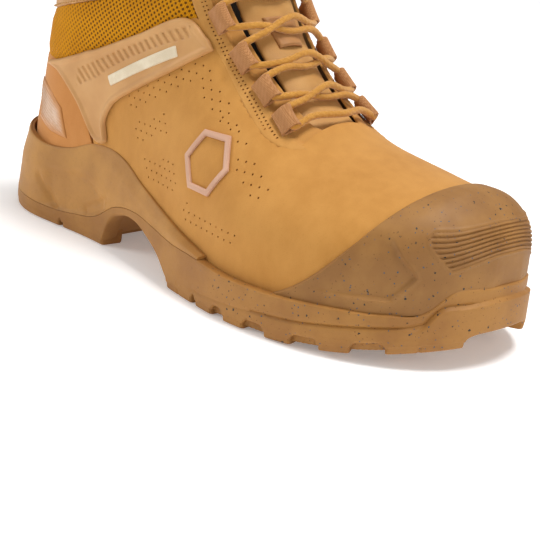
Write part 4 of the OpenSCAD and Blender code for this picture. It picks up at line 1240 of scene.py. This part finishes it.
def sole_wall():
    """The side of the sole all round, with a flange inwards at its top and bottom."""
    k = np.arange(len(RING))
    low, high = tread(RX) - arch_fillet(RX), curve(RIM, RX)
    crisp = np.where(RX < 34, 0.25, 0.8)
    rows = []
    for f in steps(44, 1.0, 14.0):
        z = low + (high - low) * f
        inset = 1.3 * (1 - quarter_round(z - low, 1.6)) + crisp * (1 - quarter_round(high - z, crisp + 0.1))
        rows.append(wall_at(k, inset - sole_relief(RX, z), z))
    for inset, z in ((4.0, high), (9.0, high - 0.6), (9.0, low + 1.2), (5.0, low + 0.1)):
        rows.append(wall_at(k, inset, z))
    return loft("wall", np.array(rows).transpose(1, 0, 2), closed=True, sharp=35)


def under_plate():
    """The underside between the lugs."""
    x = -(SOLE_X - 2.2) * np.cos(np.linspace(0, np.pi, 140))[:, None]
    f = np.linspace(-1, 1, 61)
    y = centre(x) + f * np.where(f < 0, sole_half(-1, x, 2.0), sole_half(1, x, 2.0))
    low = np.stack(np.broadcast_arrays(x, y, tread(x) + 0.15), -1)
    return shell("plate", low, low + (0, 0, 3))


def stretch(x0, x1, side):
    """The ring points of one side between two places, their x, and the length along them."""
    pick = np.nonzero((RX >= x0) & (RX <= x1) & ((RING[:, 1] - centre(RX)) * side > 0))[0]
    pick = pick[np.argsort(RX[pick])]
    return pick, RX[pick], run_along(RING[pick])


def edge_lug(x0, x1, side):
    """A block that carries the wall on down to the ground, bevelled all round."""
    pick, x, run = stretch(x0, x1, side)
    floor_z, top = spring(x), tread(x) + 3.2
    bevel = 0.9 * (1 - quarter_round(np.minimum(run, run[-1] - run), 1.3))
    sipe = 0.9 * ridge(x - (x0 + x1) / 2, 0.55) * (abs(x1 - x0) > 16) * (x1 > 0)
    rings = []
    for h in (0.0, 0.25, 0.7, 1.5, 2.6, 3.8, 5.0, 6.5):
        z = floor_z + h
        inset = 0.9 * (1 - quarter_round(h, 1.2)) + 0.12 * (LUG - min(h, LUG)) - 0.04
        rings.append(wall_at(pick, inset - sole_relief(x, z) + bevel + sipe, z))
    rings.append(wall_at(pick, 1.2 + bevel, top))
    for h, less in ((8.0, 0.0), (2.6, 0.0), (0.7, 0.25), (0.0, 1.0)):
        rings.append(wall_at(pick, LUG_DEPTH - less - bevel * 0.5, floor_z + h))
    return loft("lug", np.array(rings).transpose(1, 0, 2), sharp=35)


def rope_plate(x0, x1, side):
    """Between two lugs, a set-back face with a twisted relief."""
    pick, x, run = stretch(x0 - 1, x1 + 1, side)
    rings = []
    low, tall = spring(x) + 1.4, LUG + 0.6
    for f in np.linspace(0, 1, 14):
        twist = 0.45 * np.abs(np.sin(2 * np.pi * (run + 1.2 * np.sin(f * 7)) / 5.2))
        rings.append(wall_at(pick, 3.0 - twist - 0.6 * f, low + tall * f))
    rings += [wall_at(pick, 6.0, low + tall), wall_at(pick, 6.0, low)]
    return loft("rope", np.array(rings).transpose(1, 0, 2), sharp=60)


def bevelled_lug(x0, x1, y0, y1):
    """A middle lug with bevelled sides."""
    corners = np.array([(x0, y0), (x1, y0), (x1, y1), (x0, y1)], float)
    mid = corners.mean(0)
    rings = []
    for h, s in ((LUG + 0.6, 1.0), (1.6, 0.94), (0.6, 0.92), (0.12, 0.89), (0.0, 0.84)):
        ring = []
        for a, b in zip(corners, np.roll(corners, -1, 0)):
            a, b = mid + (a - mid) * s, mid + (b - mid) * s
            u = unit(b - a)
            ring += [a + u, b - u]
        ring = np.array(ring)
        rings.append(np.column_stack([ring, spring(ring[:, 0]) + h]))
    return loft("lug", np.array(rings), sharp=30)


def middle_lugs(first, count, pitch, length):
    """Rows of lugs across the sole, two or three to a row."""
    lugs = []
    inset = 2.5 + LUG_DEPTH + LUG_GAP
    for k in range(count):
        x0 = first + k * pitch
        x1 = x0 + length
        columns = 2 if x0 < 0 or k > 5 else 3
        low = max(float(centre(x) - sole_half(-1, x, inset)) for x in (x0, x1))
        high = min(float(centre(x) + sole_half(1, x, inset)) for x in (x0, x1))
        width = (high - low - LUG_GAP * (columns - 1)) / columns
        for y in (low + c * (width + LUG_GAP) for c in range(columns)):
            lugs.append(bevelled_lug(x0, x1, y, y + width))
    return lugs


parts = [sole_wall(), under_plate()] + middle_lugs(10, 8, 14.2, 11) + middle_lugs(-124, 4, 16, 12.8)
parts += [edge_lug(a, b, side) for a, b in EDGE_LUGS for side in (-1, 1)]
parts += [rope_plate(a[1], b[0], side) for a, b in zip(EDGE_LUGS[2:], EDGE_LUGS[3:]) for side in (-1, 1)]
place(join("rubber_outsole", parts), "boot", "outsole_rubber", SOLE_RUBBER, "outsole")

CUP_FRONT = 33
CUP_INSET = 5.0
BEVEL_TOP = [(-110, 30), (-90, 31), (-74, 34), (-53, 24)]
SIDE_CREASE, HEEL_CREASE = [(-53, 25), (-61, 20), (-71, 15), (-69, 8)], [(-109, 22), (-102, 16), (-92, 7)]


def cup_relief(x, z):
    """A bevelled hollow at the side of the heel, two creases and a slow unevenness."""
    bevel = smooth((curve(BEVEL_TOP, x) - z) / 5) * smooth((x + 106) / 8) * smooth((-52 - x) / 5)
    creases = 0.7 * ridge(segment_distance(x, z, SIDE_CREASE), 2.0)
    creases += 1.3 * ridge(segment_distance(x, z, HEEL_CREASE), 3.0)
    return 0.25 * np.sin(x / 17) * np.sin(z / 13) - 1.3 * bevel - creases


def heel_cup():
    """The shell from one side of the waist round the heel to the other."""
    k = np.nonzero(RX <= CUP_FRONT)[0]
    k = np.concatenate([k[k < len(RING) // 2][::-1], k[k >= len(RING) // 2][::-1]])
    x = RX[k]
    low = curve(RIM, x) + 0.15
    high = np.maximum(curve(FEATHER, x), low + 0.8)
    sections = []
    for f in steps(40, 1.2, 30.0):
        z = low + (high - low) * f
        inset = 0.4 * f + 1.9 * smooth((f - 0.5) / 0.5) + 0.25 * (1 - quarter_round(z - low, 0.3))
        inset += 0.9 * (1 - quarter_round(high - z, 1.4)) + 2.4 * f * smooth((-110 - x) / 32)
        inset -= cup_relief(x, z) * smooth((z - low) / 2) * smooth((high - z) / 4)
        sections.append(wall_at(k, inset, z))
    for more, z in ((0, high - 0.3), (2, high - 0.6), (2, low + 0.3)):
        sections.append(wall_at(k, CUP_INSET + more, z))
    return loft("heel_cup_shell", np.array(sections).transpose(1, 0, 2), sharp=40)


place(heel_cup(), "boot", "cup_rubber", CUP_RUBBER, "heel_cup")

# ---- Toe bumper ----

BUMPER_EDGE = [(77, 19.8), (107, 21.2), (126, 22.3), (135, 24.2), (141, 27.5), (146.2, 33.6)]
CHEVRON = [(123, 55), (128.4, 48), (133, 42.4), (134.2, 39.2), (131.6, 34.8), (127, 28.4), (113, 27),
           (96, 26.6)]
HOLLOW_REST = [(84, 26.6), (84, 70), (118, 70)]
PANEL_Z, PANEL_TOP, RIBS = 42.5, 59.5, 8
PANEL_RISE = [(110, -6), (134, -1), (142, 0.5), (147, 4), (150, 7)]


def bumper_relief(P):
    """A ribbed panel over the tip, and a hollow behind the chevron on each side."""
    x, z = P[..., 0], P[..., 2]
    up = z - curve(PANEL_RISE, x)
    left = curve([(40, 144), (43, 142), (47, 140), (55, 135), (59, 134), (62, 136)], up)
    inside = np.minimum(np.minimum(up - PANEL_Z, PANEL_TOP - up), (x - left) * 1.4)
    ribs = smooth((0.62 - np.cos(2 * np.pi * RIBS * (up - PANEL_Z) / (PANEL_TOP - PANEL_Z))) / 0.8)
    height = smooth(inside / 0.8) * (0.7 * ribs - 0.62) + 0.35 * ridge(inside + 0.6, 0.8)
    chevron = segment_distance(x, z, CHEVRON)
    hollow = within(P[..., (0, 2)].reshape(-1, 2), np.array(CHEVRON + HOLLOW_REST, float)).reshape(x.shape)
    hollow = hollow * smooth(chevron / 1.3) * smooth((x - 92) / 34) * smooth((57 - z) / 7)
    return height - 1.5 * hollow + 0.4 * ridge(chevron, 0.8) * smooth((x - 98) / 8) * smooth((55 - z) / 5)


def guard_grid(d):
    return over_grid(BUMPER_EDGE, 120, UPPER_TOE - 0.61, s_rows, js, d, 6, True)


s_rows = ease_to_tip(150)
js = np.linspace(-1, 1, 241)
js = np.sign(js) * np.abs(js) ** 0.8
thick = 2.0 + 1.4 * smooth(s_rows / 0.35)
P = guard_grid(thick)
height = bumper_relief(P) - (thick[:, None] - 0.5) * (1 - quarter_round(border(P, "a"), 1.5))
bumper = shell("toe_guard", P + normals(P) * height[..., None], guard_grid(-0.3), closed=True)
place(bumper, "boot", "bumper_rubber", BUMPER_RUBBER, "toe_bumper")

# ---- Padded pieces: collar and tongue ----


def puff(obj, voxel, pressure, cap):
    """Fills a padded piece by cloth simulation; no point moves further than cap, in millimetres."""
    bpy.ops.object.select_all(action="DESELECT")
    obj.select_set(True)
    bpy.context.view_layer.objects.active = obj
    remesh = obj.modifiers.new("remesh", "REMESH")
    remesh.mode, remesh.voxel_size = "VOXEL", voxel * MM
    bpy.ops.object.modifier_apply(modifier=remesh.name)
    start = np.array([v.co[:] for v in obj.data.vertices])
    cloth = obj.modifiers.new("cloth", "CLOTH")
    cloth.settings.quality = 6
    cloth.settings.use_pressure = True
    cloth.settings.uniform_pressure_force = pressure
    cloth.settings.effector_weights.gravity = 0
    for number in range(1, 21):
        bpy.context.scene.frame_set(number)
    graph = bpy.context.evaluated_depsgraph_get()
    after = np.array([v.co[:] for v in obj.evaluated_get(graph).data.vertices])
    obj.modifiers.remove(cloth)
    bpy.context.scene.frame_set(1)
    move, limit = after - start, cap * MM
    size = np.maximum(np.linalg.norm(move, axis=1, keepdims=True), 1e-9)
    move = move / size * limit * np.tanh(size / limit)
    obj.data.vertices.foreach_set("co", (start + move).ravel())
    smoother = obj.modifiers.new("subdivision", "SUBSURF")
    smoother.levels = 1
    bpy.ops.object.modifier_apply(modifier=smoother.name)
    obj.data.shade_smooth()


STITCH = [(-0.5, 0.35, -0.3), (-0.36, 0.9, 0.02), (0, 1.0, 0.14), (0.36, 0.9, 0.02), (0.5, 0.35, -0.3)]


def stitches(name, P, N, pitch=2.7, length=1.9, radius=0.3):
    """A row of sewing thread: each stitch a small rounded bar that dips in at its ends."""
    at = np.arange(pitch / 2, run_along(P)[-1] - pitch / 2, pitch)
    verts, faces = [], []
    for c, u, n in zip(spots(P, at), unit(spots(P, at + 0.5) - spots(P, at - 0.5)), spots(P, at, N)):
        faces += loft_faces(len(STITCH), 6, len(verts))
        for t, r, h in STITCH:
            ring = c + u * length * t + n * h + radius * r * circle(6) @ np.array([np.cross(u, n), n])
            verts += ring.tolist()
    return make(name, np.array(verts), faces, 60)


THREAD = woven("thread", "#A87434", "#D4A050", 0.5)
# The collar's section: how far up the cuff, and how far out from the surface
COLLAR_ROWS = [(0.006, -1.4), (0.004, -0.7), (0.012, -0.3), (0.05, 0.15), (0.13, 0.35), (0.3, 0.4),
               (0.5, 0.4), (0.7, 0.35), (0.86, 0.2), (0.95, -0.1), (0.99, -0.8), (1.012, -2.0),
               (1.022, -3.6), (1.022, -5.2), (1.012, -6.6), (0.985, -7.7), (0.93, -8.3), (0.8, -8.5),
               (0.6, -8.5), (0.4, -8.5), (0.2, -8.5), (0.06, -8.4), (0.03, -7.6), (0.03, -5.0),
               (0.03, -3.0), (0.006, -2.2)]


def cuff_grid(s, j, d):
    return back_grid(CUFF_FRONT, CUFF_LOW_BACK, COLLAR_BACK, s, j, d)


s_rows, d_rows = np.array(COLLAR_ROWS).T
js = np.linspace(-1.012, 1.012, 161)
P = cuff_grid(s_rows, js, d_rows)
under = cuff_grid(s_rows, js, np.minimum(d_rows, -3.2))
tuck = smooth((np.abs(js) - 0.985) / 0.014)[None, :, None]
collar = loft("padded_collar", (P + (under - P) * tuck).transpose(1, 0, 2))
puff(collar, 2.2, 4.0, 0.9)
place(collar, "boot", "collar_leather", COLLAR_SKIN, "collar_cuff", "collar_foam")
hem = cuff_grid(np.array([0.03, 0.05, 0.07]), np.linspace(-0.97, 0.97, 200), 0)
thread = stitches("collar_stitches", hem[1] + normals(hem)[1] * 0.75, normals(hem)[1])
place(thread, "boot", "collar_leather", THREAD)

TONGUE_EDGE = [(70, 66), (56, 70), (40, 76), (24, 86), (8, 102), (-5, 120), (-15, 138), (-20.6, 149),
               (-21.6, 154), (-22, 163), (-24.5, 173), (-29, 181)]
KEEPER_EDGE = [(20.5, 111), (9, 123)]
THROAT = np.array(LACE_EDGE[::-1])
lace_line = even(LACE_ROUTE, 1.5)[0]


def tongue_height(P):
    """How far the padding stands out: low under the stays, the laces and the keeper, full between them."""
    flat = P.reshape(-1, 3)
    near = np.full(len(flat), 1e6)
    for k in range(0, len(lace_line), 60):
        gap = np.linalg.norm(flat[:, None] - lace_line[None, k:k + 60], axis=2)
        near = np.minimum(near, gap.min(1))
    near = near.reshape(P.shape[:2])
    x, z = P[..., 0], P[..., 2]
    bare = smooth((z - curve(THROAT, x) - 0.5) / 4)
    bare = np.where(z > 158, smooth((z - 150) / 12), bare)
    keeper = smooth((np.abs(x - 17) - 7) / 4)
    return 1.5 * bare * keeper * smooth((near - 2.6) / 4.5)


def tongue_grid(d, narrow=1.0):
    return over_grid(TONGUE_EDGE, 66, -20, ss, js, d, narrow=narrow)


ss = np.linspace(0, 1, 110)
js = np.linspace(-1, 1, 81)
top = smooth((ss - 0.78) / 0.1)
rounded = np.sqrt(1 - 0.75 * np.clip((ss - 0.87) / 0.13, 0, 1) ** 2)

# The padding is as wide as the throat shows, and whole above the last row of lace
full = tongue_grid(-2.6)
shows = full[..., 2] > curve(THROAT, full[..., 0])
opening = np.clip((np.abs(js) * shows).max(1), 0.25, 1)
above = smooth((6 - full[:, len(js) // 2, 0]) / 14)
narrow = rounded * (0.84 * opening * (1 - above) + above)
narrow = np.convolve(np.pad(narrow, 5, "edge"), np.ones(11) / 11, "valid")
P, Q = tongue_grid(-2.6 + 0.8 * top, narrow), tongue_grid(-6.2 - 0.9 * top, narrow)
N = normals(P)
edge_drop = 1.6 * (1 - quarter_round(border(P), 2.4))
outer = P + N * (tongue_height(P) - edge_drop)[..., None]
tongue = shell("padded_tongue", outer, Q + N * edge_drop[..., None])
puff(tongue, 1.7, 3.0, 0.25)
tongue.data.materials.append(TONGUE_SKIN)
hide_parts("tongue_lower", "tongue_upper")
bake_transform(tongue)

# ---- Lace keeper on the tongue ----

KEEPER_HALF = 0.66
js = np.linspace(-KEEPER_HALF, KEEPER_HALF, 41)
P = over_grid(KEEPER_EDGE, 22, 12.5, np.linspace(0, 1, 16), js, -1.5)
N = normals(P)
P = P + N * (1.3 * (1 - (js / KEEPER_HALF) ** 2))[:, None]
d = border(P)
keeper_top = P + N * (0.25 * ridge(d - 1.2, 0.8) - 0.4 * (1 - quarter_round(d, 0.5)))[..., None]
keeper = shell("keeper_strap", keeper_top, P - N * 1.1)
place(keeper, "boot", "tongue_leather", leather("keeper_leather", "#A87440", "#B98650"), "lace_keeper")

# ---- Pull loop and its sewn tab ----

PULL_R, PULL_T, PULL_W, PULL_H, PULL_X, PULL_Z = 5.0, 1.5, 20.0, 28.0, -136.6, 146.0
WEAVE, RIB_TURN = 0.05, 2 * np.pi / 1.25


def webbing_section(points, width, thick, cy):
    """Closed webbing: a flat band that follows a closed line in the x-z plane."""
    L = np.array(points, float)
    out = -left_of(ring_tangents(L))
    half = width / 2
    inner = np.linspace(-half + 0.5, half - 0.5, 31)
    across = np.concatenate([[-half, -half + 0.15], inner, [half - 0.15, half]])
    edge = half - np.abs(across)
    t = thick / 2 * (0.35 + 0.65 * quarter_round(edge, 0.5))
    t = t + WEAVE * np.cos(across * RIB_TURN) * (edge > 0.6)
    rings = []
    for i, (p, n) in enumerate(zip(L, out)):
        up, down = t + WEAVE * (-1) ** i, -t
        band = [np.stack([p[0] + n[0] * h, across + cy, p[1] + n[1] * h], 1) for h in (up, down)]
        rings.append(np.concatenate([band[0], band[1][::-1]]))
    return np.array(rings)


mid_r, rise = PULL_R - PULL_T / 2, PULL_H - 2 * PULL_R
turn = np.linspace(0, np.pi, 24)
lower = np.stack([-mid_r * np.cos(turn), PULL_R - mid_r * np.sin(turn)], 1)
upper = np.stack([mid_r * np.cos(turn), PULL_R + rise + mid_r * np.sin(turn)], 1)
climb = np.linspace(0, 1, 24)[1:-1]
pinch = mid_r - 0.7 * np.sin(np.pi * climb)
right_side = np.stack([pinch, PULL_R + rise * climb], 1)
left_side = np.stack([-pinch, PULL_R + rise * (1 - climb)], 1)
loop_line = np.concatenate([lower, right_side, upper, left_side])
rings = webbing_section(loop_line + (PULL_X, PULL_Z), PULL_W, PULL_T, centre(PULL_X))
pull = loft("webbing_pull", rings, closed=True, sharp=60)
place(pull, "pull_loop", "webbing", WEBBING, "pull_loop")

TAB_X, TAB_LOW, TAB_BEND, TAB_END = -132.55, 131.0, 143.2, -136.3
BEND_R, TAB_SEWN = 2.0, 1.7
bend = np.linspace(0, np.pi / 2, 12)
bow_out = np.stack([TAB_X - BEND_R * (1 - np.cos(bend)), TAB_BEND + BEND_R * np.sin(bend)], 1)
line = np.concatenate([[(TAB_X, TAB_LOW)], bow_out, [(TAB_END, TAB_BEND + BEND_R)]])
line = spots(line, np.linspace(0, run_along(line)[-1], 61))
y, z = np.meshgrid(np.linspace(-PULL_W / 2, PULL_W / 2, 61), line[:, 1], indexing="ij")
P = np.stack([np.broadcast_to(line[:, 0], y.shape), y + centre(TAB_X), z], -1)
away = np.insert(left_of(tangents(line)), 1, 0, axis=1)
d = border(P)
t = (PULL_T / 2 - WEAVE) * quarter_round(d + 0.08, 0.6) + 0.04 * np.cos(y * RIB_TURN) * smooth(d / 1.5)
sewn = t + TAB_SEWN * smooth((TAB_BEND + 0.5 - z) / 2)
tab = shell("webbing_tab", P + away * t[..., None], P - away * sewn[..., None])
BOX_SEAM = [(-7.5, 133), (7.5, 133), (7.5, 143.5), (-7.5, 143.5), (-7.5, 133), (7.5, 143.5), (7.5, 133),
            (-7.5, 143.5)]
rows = []
for a, b in zip(BOX_SEAM[:-1], BOX_SEAM[1:]):
    y, z = np.linspace(a, b, 30).T
    Q = np.stack([np.full(30, TAB_X - PULL_T / 2), y + centre(TAB_X), z], 1)
    rows.append(stitches("box_stitch", Q, np.broadcast_to((-1.0, 0, 0), Q.shape), 2.4, 1.8, 0.26))
place(tab, "boot", "webbing", WEBBING, "pull_loop_tab")
place(join("tab_stitches", rows), "boot", "webbing", THREAD)

# ---- Lining ----

LINING_EDGE = [(69, 18), (52, 54), (32, 70), (12, 84), (-8, 104), (-22, 130), (-36, 159)]
s_rows = np.linspace(0, 1, 60)
depth = -5.9 - 3.2 * smooth((s_rows - 0.3) / 0.25)
js = np.linspace(-1, 1, 121)
faces = [back_grid(LINING_EDGE, 30.4, COLLAR_BACK - 1, s_rows, js, d, 3.4) for d in (depth, depth - 0.8)]
place(shell("soft_lining", *faces), "boot", "lining_fabric", LINING_CLOTH, "lining_rear")

# ---- Materials of the nodes that stay as they are ----

KEPT = {"midsole_foam": MIDSOLE, "steel": STEEL, "gasket_rubber": BLACK_RUBBER, "plate_fabric": PLATE,
        "board": BOARD, "stiffener": STIFFENER, "footbed_fabric": FOOTBED_CLOTH, "pad_rubber": GEL,
        "lining_fabric": LINING_CLOTH}
slot_of = {part["node"]: part["material_slot"] for part in frame["record"]["subparts"]}
shown = {piece.get("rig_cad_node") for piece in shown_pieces()}
for name, node in frame["nodes"].items():
    if name in shown and slot_of[name] in KEPT:
        node.data.materials.clear()
        node.data.materials.append(KEPT[slot_of[name]])

bpy.context.view_layer.update()
